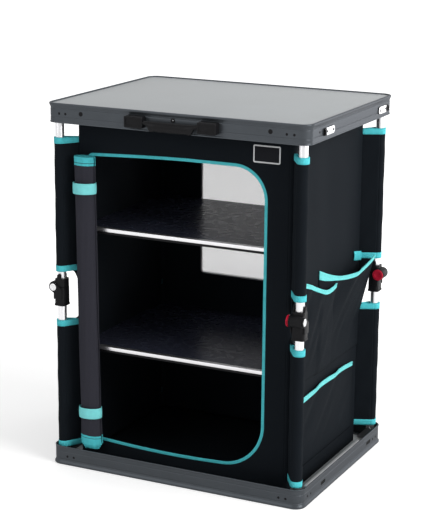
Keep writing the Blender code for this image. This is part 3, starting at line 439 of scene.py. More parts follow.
def turned(profile, centres, axes, steps):
    """Turned pieces: each centre gets the (radius, height) profile turned about its axis, the height along
    the axis and the radius times cosine and sine of the angle across it."""
    shape = Shape()
    centres, axes = np.atleast_2d(centres).astype(float), np.atleast_2d(axes).astype(float)
    side = np.cross(axes, np.where(np.abs(axes[:, 2:]) > 0.9, (1.0, 0, 0), (0, 0, 1.0)))
    side /= np.linalg.norm(side, axis=1, keepdims=True)
    other = np.cross(axes, side)
    angles = np.linspace(0, FULL_TURN, steps + 1)
    radius, height = np.asarray(profile, float).T
    for centre, axis, first, second in zip(centres, axes, side, other):
        round_it = np.cos(angles)[None, :, None] * first + np.sin(angles)[None, :, None] * second
        shape.grid(centre + radius[:, None, None] * round_it + height[:, None, None] * axis)
    return shape


def dome(radius, proud, back, steps=5):
    """A rivet's profile: a flat back sunk behind the face, a short side and an elliptic head."""
    angles = np.linspace(0, math.pi / 2, steps)
    head = np.stack((radius * np.cos(angles), proud * np.sin(angles)), -1)
    return np.concatenate(([(0, -back), (radius, -back)], head))


def carve(shape, joins=(), cuts=()):
    """The mesh of a closed shape with others joined to it and then others cut from it."""
    scene = bpy.context.scene.collection.objects
    target = bpy.data.objects.new("carved", shape.mesh("carved"))
    scene.link(target)
    tools = []
    for operation, shapes in (("UNION", joins), ("DIFFERENCE", cuts)):
        for tool_shape in shapes:
            tool = bpy.data.objects.new("tool", tool_shape.mesh("tool"))
            scene.link(tool)
            tools.append(tool)
            modifier = target.modifiers.new(operation.title(), "BOOLEAN")
            modifier.operation = operation
            modifier.object = tool
    bpy.context.view_layer.update()
    graph = bpy.context.evaluated_depsgraph_get()
    made = bpy.data.meshes.new_from_object(target.evaluated_get(graph))
    for tool in (target, *tools):
        bpy.data.objects.remove(tool)
    return made


def wave(across, *terms):
    """A sum of sines: each term gives its depth, its waves per metre along both directions and its phase."""
    first, second = across
    return sum(depth * np.sin(FULL_TURN * (a * first + b * second) + phase) for depth, a, b, phase in terms)


def ease(share):
    """A smooth step from 0 to 1."""
    share = np.clip(share, 0, 1)
    return share * share * (3 - 2 * share)


# Materials


class Value:
    """One shader value. Python's operators on it add the Math nodes that they stand for."""

    def __init__(self, nodes, socket):
        self.nodes, self.socket = nodes, socket

    def math(self, operation, *values):
        """A Math node on the values."""
        return self.nodes.node("ShaderNodeMath", {"operation": operation}, dict(enumerate(values)))

    def __add__(self, other):
        return self.math("ADD", self, other)

    def __sub__(self, other):
        return self.math("SUBTRACT", self, other)

    def __rsub__(self, other):
        return self.math("SUBTRACT", other, self)

    def __mul__(self, other):
        return self.math("MULTIPLY", self, other)

    def __gt__(self, other):
        return self.math("GREATER_THAN", self, other)

    def __lt__(self, other):
        return self.math("LESS_THAN", self, other)

    def __abs__(self):
        return self.math("ABSOLUTE", self)

    __radd__ = __add__
    __rmul__ = __mul__

    def sine(self):
        """The sine of this value, in radians."""
        return self.math("SINE", self)

    def ramp(self, low, high):
        """A smooth step from 0 at low to 1 at high."""
        settings = {"interpolation_type": "SMOOTHSTEP"}
        values = {"Value": self, "From Min": low, "From Max": high}
        return self.nodes.node("ShaderNodeMapRange", settings, values)


class Nodes:
    """The nodes that feed one shader of a node tree."""

    def __init__(self, tree, shader):
        self.tree, self.shader = tree, tree.nodes[shader]

    def node(self, kind, settings, values, output=0):
        """A node of a kind: its settings first, then the values or links of its sockets."""
        made = self.tree.nodes.new(kind)
        for setting, value in settings.items():
            setattr(made, setting, value)
        for socket, value in values.items():
            if isinstance(value, Value):
                self.tree.links.new(value.socket, made.inputs[socket])
            else:
                made.inputs[socket].default_value = value
        return Value(self, made.outputs[output])

    def feed(self, socket, value):
        """Links a value to one of the shader's sockets."""
        self.tree.links.new(value.socket, self.shader.inputs[socket])
        return self

    def seen(self):
        """1 where a ray comes from the camera, off something glossy or through something, and 0 elsewhere."""
        rays = ("Is Camera Ray", "Is Glossy Ray", "Is Transmission Ray")
        return sum(self.node("ShaderNodeLightPath", {}, {}, ray) for ray in rays) > 0.5


class Finish(Nodes):
    """A surface finish: a Principled shader and the nodes that feed it."""

    def __init__(self, name, **constants):
        self.material = bpy.data.materials.new(name)
        self.material.use_nodes = True
        super().__init__(self.material.node_tree, "Principled BSDF")
        for socket, value in constants.items():
            self.shader.inputs[socket.replace("_", " ")].default_value = value

    def place(self):
        """The point on the object: a vector, and its x, y and z."""
        vector = self.node("ShaderNodeTexCoord", {}, {}, "Object")
        return vector, *self.parts(vector)

    def cloth(self):
        """The point on the flat cloth, in metres."""
        return self.parts(self.node("ShaderNodeUVMap", {"uv_map": "Cloth"}, {}))[:2]

    def parts(self, vector):
        """A vector's x, y and z."""
        split = self.node("ShaderNodeSeparateXYZ", {}, {0: vector}).socket.node
        return tuple(Value(self, output) for output in split.outputs)

    def vector(self, x, y, z):
        """The vector with these parts."""
        return self.node("ShaderNodeCombineXYZ", {}, {0: x, 1: y, 2: z})

    def noise(self, vector, scale, detail=2.0):
        """Smooth noise from 0 to 1."""
        return self.node("ShaderNodeTexNoise", {}, {"Vector": vector, "Scale": scale, "Detail": detail})

    def blend(self, mask, first, second):
        """One colour where the mask is 0 and the other where it is 1."""
        first, second = (c if isinstance(c, Value) else (*c, 1) for c in (first, second))
        return self.node("ShaderNodeMix", {"data_type": "RGBA"}, {0: mask, 6: first, 7: second}, 2)

    def bump(self, height, distance):
        """Bends the light by the slopes of a height, whose full size is the distance."""
        return self.feed("Normal", self.node("ShaderNodeBump", {}, {"Height": height, "Distance": distance}))


def shade(colour_value, factor):
    """A colour made lighter or darker."""
    return tuple(min(1.0, channel * factor) for channel in colour_value)


def hue(name):
    """One of the colours that a user can change."""
    return tuple(getattr(bpy.context.scene.cupboard_colours, name))


def rim_finish(name):
    """Dark anodised profile: fine drawn lines along the rim, a cloudy sheen, and edges worn pale in patches
    over a painted highlight that runs all along them.
    """
    base = hue("rim")
    made = Finish(name, Metallic=0.55, Specular_IOR_Level=0.3, Specular_Tint=(0.4, 0.4, 0.42, 1))
    vector, x, y, z = made.place()
    lines = made.noise(made.vector(x * 2.0, y * 2.0, z * 1500.0), 1.0, 3.0)
    clouds = made.noise(vector, 26.0, 3.0)
    tone = lines * 0.35 + clouds * 0.5 - 0.05
    worn = made.noise(vector, 320.0, 3.0).ramp(0.66, 0.80)
    levels = (BASE_LOW[2], BASE_HIGH[2], RIM_LOW[2], RIM_HIGH[2])
    # A band at each rim's top and bottom edge is lighter: the noise stands for wear, the constant part is a
    # painted highlight
    wear_and_highlight = (worn * 0.5 + 0.16) * sum(abs(z - level) < 0.0011 for level in levels)
    clean = made.blend(tone, shade(base, 0.80), shade(base, 1.3))
    made.feed("Base Color", made.blend(wear_and_highlight, clean, shade(base, 3.2)))
    made.feed("Roughness", lines * 0.14 + clouds * 0.10 + 0.24)
    return made.bump(lines + worn * 0.3, 0.00006).material


def laminate_finish(name):
    """Grey pebbled laminate: close speckles, a fine orange peel and faint cloudy shine."""
    base = hue("panel")
    made = Finish(name, Specular_IOR_Level=0.5)
    vector = made.place()[0]
    speckle = made.noise(vector, 900.0, 2.0)
    pebble = made.noise(vector, 420.0, 3.0)
    clouds = made.noise(vector, 7.0, 2.0)
    tone = speckle * 0.6 + clouds * 0.4
    made.feed("Base Color", made.blend(tone.ramp(0.3, 0.7), shade(base, 0.88), shade(base, 1.10)))
    made.feed("Roughness", clouds * 0.12 + pebble * 0.12 + 0.30)
    return made.bump(pebble + speckle * 0.4, 0.00012).material


def metal_finish(name, base, roughness, lines=(1.0, 1.0, 1.0), metallic=0.94):
    """Bright metal with drawn lines: noise stretched by unlike scales along x, y and z."""
    made = Finish(name, Metallic=metallic)
    vector, x, y, z = made.place()
    drawn = made.noise(made.vector(x * lines[0], y * lines[1], z * lines[2]), 700.0, 3.0)
    clouds = made.noise(vector, 38.0, 3.0)
    made.feed("Base Color", made.blend(drawn * 0.5 + clouds * 0.5, shade(base, 0.84), shade(base, 1.08)))
    made.feed("Roughness", drawn * 0.16 + clouds * 0.12 + (roughness - 0.14))
    return made.bump(drawn, 0.00003).material


def plastic_finish(name, base, roughness, grain=0.00005):
    """Moulded plastic: fine spark grain and faint rubbed patches."""
    made = Finish(name, Specular_IOR_Level=0.1)
    vector = made.place()[0]
    pits = made.noise(vector, 1900.0, 2.0)
    rubbed = made.noise(vector, 60.0, 3.0).ramp(0.45, 0.75)
    made.feed("Base Color", made.blend(rubbed * 0.6 + pits * 0.4, shade(base, 0.85), shade(base, 1.45)))
    made.feed("Roughness", pits * 0.12 - rubbed * 0.10 + roughness)
    return made.bump(pits, grain).material


def threads_of(made, along, across):
    """Threads on the flat cloth: a sine in each direction, with a thread every so many metres."""
    return [(place * (math.pi / pitch)).sine() for place, pitch in zip(made.cloth(), (along, across))]


def weave(made, pitch):
    """A plain weave: the threads are the sizes of both sines, and the sign of their product says which of
    the two lies on top. Returns its height and the sign."""
    along, across = threads_of(made, pitch, pitch)
    over = along * across > 0
    return over * abs(along) + (1 - over) * abs(across), over


def cloth_finish(name, base, pitch, roughness, light=1.5, gloss=0.06):
    """Woven cloth: threads, slubs of lighter yarn and wide soft fading."""
    made = Finish(name, Specular_IOR_Level=gloss)
    u, v = made.cloth()
    threads, over = weave(made, pitch)
    slubs = made.noise(made.vector(u * 900.0, v * 60.0, 0.0), 1.0)
    fading = made.noise(made.place()[0], 5.0, 3.0)
    tone = threads * 0.45 + over * 0.1 + slubs * 0.3 + fading * 0.35 - 0.1
    made.feed("Base Color", made.blend(tone, shade(base, 0.62), shade(base, light)))
    made.feed("Roughness", threads * 0.1 + (roughness - 0.05))
    return made.bump(threads + slubs * 0.5, 0.00012).material


def ribbed_finish(name, base):
    """Grosgrain tape: cross ribs along its length, fine threads across them and soft wear."""
    made = Finish(name, Specular_IOR_Level=0.3)
    ribs, threads = map(abs, threads_of(made, TAPE_RIBS, TAPE_THREADS))
    worn = made.noise(made.place()[0], 90.0, 3.0)
    made.feed("Base Color", made.blend(ribs * 0.5 + worn * 0.6 - 0.05, shade(base, 0.70), shade(base, 1.25)))
    made.feed("Roughness", ribs * 0.1 + 0.58)
    return made.bump(ribs + threads * 0.3, 0.0002).material


def mesh_finish(name):
    """Window mesh: round-edged threads with open square holes between them."""
    made = Finish(name, Specular_IOR_Level=0.3, Roughness=0.6)
    threads = weave(made, MESH_HOLES)[0]
    along, across = map(abs, threads_of(made, MESH_HOLES, MESH_HOLES))
    base = hue("window")
    made.feed("Base Color", made.blend(threads, shade(base, 0.8), shade(base, 1.1)))
    made.feed("Alpha", 1 - (along > THREAD_EDGE) * (across > THREAD_EDGE) * HOLE_CLEAR)
    return made.bump(threads, 0.00015).material


def finish(name):
    """The finish of that name, made once."""
    return bpy.data.materials.get(name) or FINISHES[name](name)


FINISHES = {
    "rim_anodised": rim_finish,
    "panel_laminate": laminate_finish,
    "bracket_steel": lambda name: metal_finish(name, (0.22, 0.22, 0.23), 0.40),
    "strip_metal": lambda name: metal_finish(name, (0.40, 0.41, 0.42), 0.42, (1.0, 0.02, 1.0), metallic=0.3),
    "tube_aluminium": lambda name: metal_finish(name, hue("bright"), 0.30, (1.0, 1.0, 0.01)),
    "edge_aluminium": lambda name: metal_finish(name, hue("bright"), 0.30, (0.01, 1.0, 1.0)),
    "rivet_steel": lambda name: metal_finish(name, hue("steel"), 0.26),
    "latch_steel": lambda name: metal_finish(name, (0.78, 0.78, 0.79), 0.30),
    "dark_rivet": lambda name: plastic_finish(name, (0.006, 0.006, 0.007), 0.50),
    # Near black, for the liners that paint the shade in the latch slots
    "slot_black": lambda name: plastic_finish(name, (0.004, 0.004, 0.004), 0.62),
    "knuckle_plastic": lambda name: plastic_finish(name, hue("plastic"), 0.42),
    "handle_plastic": lambda name: plastic_finish(name, hue("plastic"), 0.33),
    "grip_rubber": lambda name: plastic_finish(name, hue("plastic"), 0.27),
    "button_plastic": lambda name: plastic_finish(name, hue("button"), 0.32),
    "shelf_board": lambda name: plastic_finish(name, hue("shelf"), 0.24, 0.00001),
    # The doorway's binding is the trim's tape made a little darker: painted shade on the front-facing tape
    "door_binding": lambda name: ribbed_finish(name, shade(hue("trim"), 0.93)),
    "pocket_tape": lambda name: ribbed_finish(name, (0.14, 0.62, 0.62)),
    "turquoise_tape": lambda name: ribbed_finish(name, hue("trim")),
    "strap_tape": lambda name: ribbed_finish(name, hue("strap")),
    "black_cloth": lambda name: cloth_finish(name, hue("fabric"), WEAVE, 0.80),
    "door_cloth": lambda name: cloth_finish(name, hue("door"), WEAVE, 0.82, 1.4, 0.12),
    "patch_cloth": lambda name: cloth_finish(name, (0.012, 0.013, 0.016), 0.0005, 0.7, 1.6),
    "patch_border": lambda name: cloth_finish(name, (0.80, 0.81, 0.83), 0.0006, 0.7, 1.1),
    "window_mesh": mesh_finish,
}


def dress_node(name, look):
    """A CAD node whose shape stays gets its finish."""
    thing = frame["nodes"][name]
    if thing.material_slots:
        for slot in thing.material_slots:
            slot.material = finish(look)
    else:
        thing.data.materials.append(finish(look))


# Trays


def rim_section(sizes, height):
    """The rim's section as (out, up) from the wall's outer face and the open edge: a flared foot, a wall
    with two grooves, a lip that holds the panel's edge, and the ledge under the panel."""
    wall, lip, flare = sizes.wall, sizes.lip, sizes.flare
    half, depth = sizes.groove_height / 2, sizes.groove_depth
    gap = 0.0003
    seat = height - sizes.panel - gap
    head = wall + gap
    outer = [(-wall, 0), (flare, 0), (flare, 2.4 * flare), (0, 3.6 * flare)]
    for level in (0.29 * height, 0.72 * height):
        outer += [(0, level - half), (-depth, level - half + depth)]
        outer += [(-depth, level + half - depth), (0, level + half)]
    lip_start = height - 2.6 * lip
    outer += [(0, lip_start - lip), (lip, lip_start + lip), (lip, height - lip / 2), (lip / 2, height)]
    inner = [(-head, height), (-head, seat), (-wall - sizes.ledge_width, seat)]
    inner += [(-wall - sizes.ledge_width, seat - sizes.ledge), (-wall, seat - sizes.ledge)]
    return soften(outer + inner, 0.0009)


def slot_blocks(sizes, wall_x, margin, start, end):
    """Rounded blocks at the base rim's latch slots, which lie where the closed latches end. They reach from
    start to end, measured outwards from the wall's face."""
    folded_height = BASE_HIGH[2] * 2 + 0.001
    half_y, half_z = sizes.slot_length / 2 - margin, sizes.slot_height / 2 - margin
    blocks = []
    for side, sign in (("left", -1), ("right", 1)):
        for row in ("front", "rear"):
            pivot = HINGES[f"latch_turn_{row}_{side}"]
            low, high = corners_of(f"latch_{row}_{side}")
            reach = max(pivot[1] - low[1], high[1] - pivot[1])
            level = folded_height - (RIM_HIGH[2] - pivot[2]) - reach + (high[2] - low[2]) / 2
            corners = (pivot[1] - half_y, level - half_z), (pivot[1] + half_y, level + half_z)
            outline = round_frame(*corners, half_z * 0.9, 6)[0]
            blocks.append(slab(outline, sign * (wall_x + start), sign * (wall_x + end), "X"))
    return blocks


def rim_studs(spots_x, spots_y, level, half_x, half_y):
    """Centres and outward directions of studs on a rim: spots_x along the front and the back, spots_y along
    both sides."""
    centres = [(sign * x, sign * half_y, level) for sign in (-1, 1) for x in spots_x]
    axes = [(0, sign, 0) for sign in (-1, 1) for _ in spots_x]
    centres += [(sign * half_x, sign * y, level) for sign in (-1, 1) for y in spots_y]
    axes += [(sign, 0, 0) for sign in (-1, 1) for _ in spots_y]
    return np.array(centres), np.array(axes)


class CUPBOARD_OT_trays(bpy.types.Operator):
    """Rim profiles, rivets and plugs of both trays, and the finish of their panels and brackets"""

    bl_idname = "cupboard.trays"
    bl_label = "Trays"

    def execute(self, context):
        sizes = context.scene.cupboard_trays
        wall_x, wall_y = RIM_HIGH[0] - sizes.lip, RIM_HIGH[1] - sizes.lip
        height = RIM_HIGH[2] - RIM_LOW[2]
        path, out = round_frame((-wall_x, -wall_y), (wall_x, wall_y), sizes.corner - sizes.lip, 16, 4)
        section = rim_section(sizes, height)
        out = np.column_stack((out, np.zeros(len(out))))
        for name, floor, turned_over in (("top", RIM_LOW[2], False), ("base", BASE_LOW[2], True)):
            profile = section * (1, -1) + (0, height) if turned_over else section
            track = np.column_stack((path, np.full(len(path), floor)))
            made = carried(track, out, (0, 0, 1), profile)
            if turned_over:
                made = carve(made, cuts=slot_blocks(sizes, wall_x, 0.0, -sizes.slot_depth, sizes.lip))
            rim = add_piece(name + "_rim_profile", made, "rim_anodised", name, 28)
            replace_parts(rim, name + "_rim")
            for where in CORNERS:
                dress_node(f"{name}_bracket_{where}", "bracket_steel")
        dress_node("base_panel", "panel_laminate")
        dress_node("guide_strip", "strip_metal")
        self.add_table(sizes)
        self.add_slot_shade_liners(sizes, wall_x)
        self.add_studs(sizes, wall_x, wall_y)
        return {"FINISHED"}

    def add_table(self, sizes):
        """The table's board: its face lies a little below the rim's edge."""
        low, high = corners_of("top_panel")
        outline = round_frame(low[:2], high[:2], sizes.corner - sizes.lip - sizes.wall, 16)[0]
        board = slab(outline, low[2], high[2] - sizes.sunk, "Z", 0.0006)
        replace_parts(add_piece("table_board", board, "panel_laminate", "top"), "top_panel")

    def add_slot_shade_liners(self, sizes, wall_x):
        """Black oblong liners at the bottom of the latch slots: a dark sheet that paints the shade in the
        slots.
        """
        margin, half_thick = 0.0003, 0.0004
        start, end = -sizes.slot_depth - half_thick, -sizes.slot_depth + half_thick
        shape = Shape()
        for shade_liner in slot_blocks(sizes, wall_x, margin, start, end):
            shape.join(shade_liner)
        add_piece("slot_liners", shape, "slot_black", "base")

    def add_studs(self, sizes, wall_x, wall_y):
        """Bracket rivets near every corner, black plugs beside them and a ring rivet over the handle."""
        rivet = dome(sizes.rivet, sizes.rivet_proud, RIVET_BACK)
        plug = dome(sizes.plug, 0.0008, RIVET_BACK)
        for name, body, places, profile, look, slot in (
            ("top_rivets", "top", TOP_RIVETS, rivet, "dark_rivet", "pin"),
            ("base_rivets", "base", BASE_RIVETS, rivet, "dark_rivet", "pin"),
            ("top_plugs", "top", TOP_PLUGS, plug, "knuckle_plastic", "knuckle"),
        ):
            centres, axes = rim_studs(*places, wall_x, wall_y)
            add_piece(name, turned(profile, centres, axes, 20), look, body)
        ring = [(0, -RIVET_BACK), (0.0048, -RIVET_BACK), (0.0048, 0.0005)]
        ring += [(0.0040, 0.0011), (0.0030, 0.0003), (0, 0.0001)]
        for name, profile, look, slot in (
            ("handle_washer", ring, "knuckle_plastic", "knuckle"),
            ("handle_washer_rivet", dome(0.0022, 0.0009, 0.0003), "bracket_steel", "pin"),
        ):
            shape = turned(profile, (0.0, -wall_y, HANDLE_WASHER_LEVEL), (0, -1, 0), 24)
            add_piece(name, shape, look, "top")


# Legs


COLLAR_PROUD, COLLAR_HEIGHT = 0.0008, 0.004  # the ridge round a lower knuckle's foot
SOCKET_DEPTH = 0.024  # how far the lower tube reaches into its knuckle
TAB_HEIGHT = 0.011  # how far the tabs stand up beside the upper tube
TAB_FOOT, BORE_DEPTH = 0.004, 0.0105  # how far the tabs and the upper tube's bore reach down into the block
TONGUE_GAP = 0.0006  # round the tongue
CAP_GAP = 0.0009  # from the boss's end to the button's cap
HALF_SPLIT = 0.00015  # from the knee's level to the face of each half


class LegFrame:
    """Where one leg stands, and which way its knee is offset."""

    def __init__(self, where):
        low, high = corners_of("lower_tube_" + where)
        self.where = where
        self.centre = ((low + high) / 2)[:2]
        self.radius = (high - low)[:2].min() / 2
        self.knee = HINGES["knee_" + where]
        away = self.knee[:2] - self.centre
        self.offset = float(np.linalg.norm(away))
        self.across = -away / self.offset

    def matrix(self):
        """From the knee's own frame, with x away from the pivot and z up, to the cupboard's."""
        x, y = self.across
        rows = ((x, -y, 0, self.centre[0]), (y, x, 0, self.centre[1]), (0, 0, 1, self.knee[2]), (0, 0, 0, 1))
        return Matrix(rows)

    def placed(self, mesh):
        """A copy of a mesh that was made in the knee's own frame."""
        made = mesh.copy()
        made.transform(self.matrix())
        return made


def tube_shell(centre, radius, wall, low, high):
    """A tube: a thin rectangle with softened corners turned about the tube's axis."""
    section = soften(((radius - wall, low), (radius, low), (radius, high), (radius - wall, high)), 0.0004, 3)
    return turned(closed(section), (*centre, 0), (0, 0, 1), 48)


def cheek(sizes, pivot, radius, low, high):
    """A cheek: a round eye about the pivot, a waist under it, and a tail down the knuckle's side."""
    side = sizes.half_depth
    tail = [(-side, -1.22 * radius), (-side, -sizes.cheek_length)]
    tail += [(0.7 * side, -sizes.cheek_length), (0.7 * side, -0.4 * radius)]
    outline = np.concatenate((arc((-pivot, 0), radius, 55, 252, 40), tail))
    return slab(outline, low, high, "Y", sizes.edge)


def lower_knuckle(sizes, pivot, bottom, tube_radius):
    """The socket half: a block with a collar, two cheeks, the button's boss and the bores."""
    corner = np.array((sizes.half_depth, sizes.half_width))
    block = round_frame(-corner, corner, sizes.corner, 8)[0]
    collar = round_frame(-corner - COLLAR_PROUD, corner + COLLAR_PROUD, sizes.corner, 8)[0]
    inner = sizes.cheek_inner
    outer = inner + sizes.cheek
    boss_end = inner + sizes.boss_length - sizes.cap - CAP_GAP
    eye = (-pivot, 0)
    joins = (
        slab(collar, bottom, bottom + COLLAR_HEIGHT, "Z", sizes.edge),
        cheek(sizes, pivot, sizes.rivet_boss, -outer, -inner + OVERLAP),
        cheek(sizes, pivot, sizes.button_boss, inner - OVERLAP, boss_end - OVERLAP / 2),
        rod(eye, sizes.button_boss - 0.0006, inner, boss_end, "Y", 40, sizes.edge),
    )
    cuts = (
        rod(eye, sizes.tongue + TONGUE_GAP, -inner, inner, "Y", 40),
        rod(eye, sizes.button + PIN_GAP, boss_end - 0.0024, boss_end + 0.003, "Y", 40),
        rod((0, 0), tube_radius + BORE_GAP, bottom - COLLAR_HEIGHT, bottom + SOCKET_DEPTH, "Z", 36),
    )
    return carve(slab(block, bottom, -HALF_SPLIT, "Z", sizes.edge), joins, cuts)


def upper_knuckle(sizes, pivot, top, tube_radius):
    """The tongue half: a block, a round tongue about the pivot, the tube's socket and two upright tabs with
    round heads beside the tube."""
    half_y = sizes.cheek_inner - BORE_GAP
    corner = np.array((sizes.half_depth, half_y))
    block = round_frame(-corner, corner, sizes.corner, 8)[0]
    joins = [rod((-pivot, 0), sizes.tongue, -half_y, half_y, "Y", 40, sizes.edge)]
    shoulder = top - TAB_HEIGHT
    foot = shoulder - TAB_FOOT
    half_tab = sizes.tab_width / 2
    head = arc((0, top - half_tab), half_tab, 0, 180, 16)
    tab = np.concatenate((head, [(-half_tab, foot), (half_tab, foot)]))
    for sign in (-1, 1):
        joins.append(slab(tab, sign * (tube_radius + PIN_GAP), sign * (half_y - PIN_GAP), "Y", 0.0005))
    bore = rod((0, 0), tube_radius + BORE_GAP, shoulder - BORE_DEPTH, top + 0.01, "Z", 36)
    return carve(slab(block, HALF_SPLIT, shoulder, "Z", sizes.edge), joins, [bore])


class CUPBOARD_OT_legs(bpy.types.Operator):
    """Tubes, folding knuckles, knee rivets and lock buttons of the four legs"""

    bl_idname = "cupboard.legs"
    bl_label = "Legs"

    def execute(self, context):
        sizes = context.scene.cupboard_legs
        legs = [LegFrame(where) for where in CORNERS]
        pivot, radius, knee = legs[0].offset, legs[0].radius, legs[0].knee[2]
        bottom = corners_of("lower_knuckle_front_left")[0][2] - knee
        top = corners_of("upper_knuckle_front_left")[1][2] - knee
        halves = {
            "lower": lower_knuckle(sizes, pivot, bottom, radius),
            "upper": upper_knuckle(sizes, pivot, top, radius),
        }
        pin, button = self.pin(sizes, pivot), self.button(sizes, pivot)
        crimp = self.crimp(sizes, top - sizes.tab_width / 2)
        for leg in legs:
            where = leg.where
            for half, mesh in halves.items():
                body = f"{half}_leg_{where}"
                low, high = corners_of(f"{half}_tube_{where}")
                shell = tube_shell(leg.centre, radius, sizes.wall, low[2], high[2])
                tube = add_piece(f"{half}_leg_shell_{where}", shell, "tube_aluminium", body)
                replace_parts(tube, f"{half}_tube_{where}")
                name = f"{half}_knuckle_body_{where}"
                knuckle = add_piece(name, leg.placed(mesh), "knuckle_plastic", body, 30)
                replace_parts(knuckle, f"{half}_knuckle_{where}")
            lower, upper = "lower_leg_" + where, "upper_leg_" + where
            rivet = add_piece("knee_rivet_" + where, leg.placed(pin), "rivet_steel", lower)
            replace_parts(rivet, "knee_pin_" + where)
            name = "red_button_" + where
            press = add_piece(name, leg.placed(button), "button_plastic", "button_" + where)
            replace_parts(press, "lock_button_" + where)
            add_piece("crimp_rivet_" + where, leg.placed(crimp), "dark_rivet", upper)
        return {"FINISHED"}

    def pin(self, sizes, pivot):
        """A shank with a low head that has a turned rim and a shallow centre, facing along -y."""
        face = sizes.cheek_inner + sizes.cheek + 0.0003
        radius = sizes.pin_head
        profile = [(0, -0.012), (0.003, -0.012), (0.003, -0.0001), (radius, 0.0), (radius, 0.0004)]
        profile += [(0.92 * radius, 0.0007), (0.60 * radius, 0.0007), (0.52 * radius, 0.0004)]
        profile += [(0.30 * radius, 0.0004), (0.20 * radius, 0.0006), (0, 0.0007)]
        return turned(profile, (-pivot, -face, 0), (0, -1, 0), 40).mesh("knee_rivet")

    def button(self, sizes, pivot):
        """A shank with a round cap that has a rolled edge and a dished face, facing along +y."""
        rest = sizes.cheek_inner + sizes.boss_length + sizes.button_proud
        radius, dish, cap = sizes.button_cap, sizes.dish, sizes.cap
        share = np.linspace(1, 0, 9)
        face = np.stack((0.62 * radius * share, -dish * (1 - share**2)), -1)
        shank = [(0, -cap - 0.002), (sizes.button, -cap - 0.002), (sizes.button, -cap), (radius, -cap)]
        edge = [(radius, -0.0009), (0.97 * radius, -0.0003), (0.9 * radius, 0), (0.70 * radius, 0)]
        profile = np.concatenate((shank, edge, face))
        return turned(profile, (-pivot, rest, 0), (0, 1, 0), 40).mesh("red_button")

    def crimp(self, sizes, level):
        """The dark rivet through the upper tube and the tab beside it, facing along -y."""
        profile = dome(sizes.crimp, 0.0008, 0.0006)
        face = sizes.cheek_inner - 0.0007
        return turned(profile, (0, -face, level), (0, -1, 0), 24).mesh("crimp_rivet")


# Handle and latches


class CUPBOARD_OT_handle(bpy.types.Operator):
    """The carry handle: two moulded mounts and the swinging grip"""

    bl_idname = "cupboard.handle"
    bl_label = "Handle"

    def execute(self, context):
        sizes = context.scene.cupboard_fittings
        pivot = HINGES["handle_swing"]
        for where, side in (("left", -1), ("right", 1)):
            low, high = corners_of("handle_mount_" + where)
            block = self.mount(sizes, low, high, side, pivot)
            mount = add_piece("handle_block_" + where, block, "handle_plastic", "top", 40)
            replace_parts(mount, "handle_mount_" + where)
        inner = min(abs(low[0]), abs(high[0]))
        grip = add_piece("handle_bar", self.grip(sizes, inner, pivot), "grip_rubber", "handle", 40)
        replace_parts(grip, "handle_grip")
        return {"FINISHED"}

    def mount(self, sizes, low, high, side, pivot):
        """A rounded block with a shallow finger recess in its face and the hole for the grip's stub."""
        edge = sizes.mount_edge
        outline = round_frame(low[::2], high[::2], edge, 6)[0]
        block = slab(outline, low[1], high[1], "Y", edge * 0.6, 5)
        margin, depth = 0.0045, 0.0009
        recess = round_frame(low[::2] + margin, high[::2] - margin, 0.003, 6)[0]
        hollow = slab(recess, low[1] - 0.002, low[1] + depth, "Y")
        end = high[0] if side < 0 else low[0]
        start, stop = end + side * (sizes.stub + 0.0005), end - side * 0.004
        return carve(block, cuts=[hollow, rod(pivot[1:], sizes.stub_radius + PIN_GAP, start, stop, "X")])

    def grip(self, sizes, inner, pivot):
        """An oval bar carried along x. From each shoulder its middle line drops and its half height and
        depth grow by the same smooth step; close ribs ring the middle and finger waves the underside."""
        reach = inner - 0.0006
        across = np.linspace(-reach, reach, 321)
        share = np.clip((reach - sizes.lead - np.abs(across)) / sizes.shoulder, 0, 1)
        step = ease(share)[:, None]
        full = step > 0.999
        ribbed = (np.abs(across) < 0.034)[:, None]
        low, high = corners_of("handle_grip")
        tall = sizes.grip_end + ((high - low)[2] / 2 - 0.0003 - sizes.grip_end) * step
        deep = sizes.grip_end + (sizes.grip_depth - sizes.grip_end) * step
        middle = pivot[2] + ((low + high)[2] / 2 - pivot[2]) * step
        ribs = 1 - 0.022 * (1 + np.cos(across / 0.00042))[:, None] * full * ribbed
        angles = np.linspace(0, FULL_TURN, 41)
        fingers = 0.0006 * (np.cos(across / 0.0036) - 1)[:, None] * full * np.clip(-np.sin(angles), 0, 1)
        bar = np.empty((len(across), len(angles), 3))
        bar[..., 0] = across[:, None]
        bar[..., 1] = pivot[1] + deep * ribs * np.cos(angles)
        bar[..., 2] = middle + (tall * ribs + fingers) * np.sin(angles)
        stubs = []
        for side in (-1, 1):
            start, stop = side * (inner - 0.012), side * (sizes.stub + inner)
            stubs.append(rod(pivot[1:], sizes.stub_radius, start, stop, "X", edge=0.0004))
        return carve(Shape().grid(bar).lids(bar), joins=stubs)


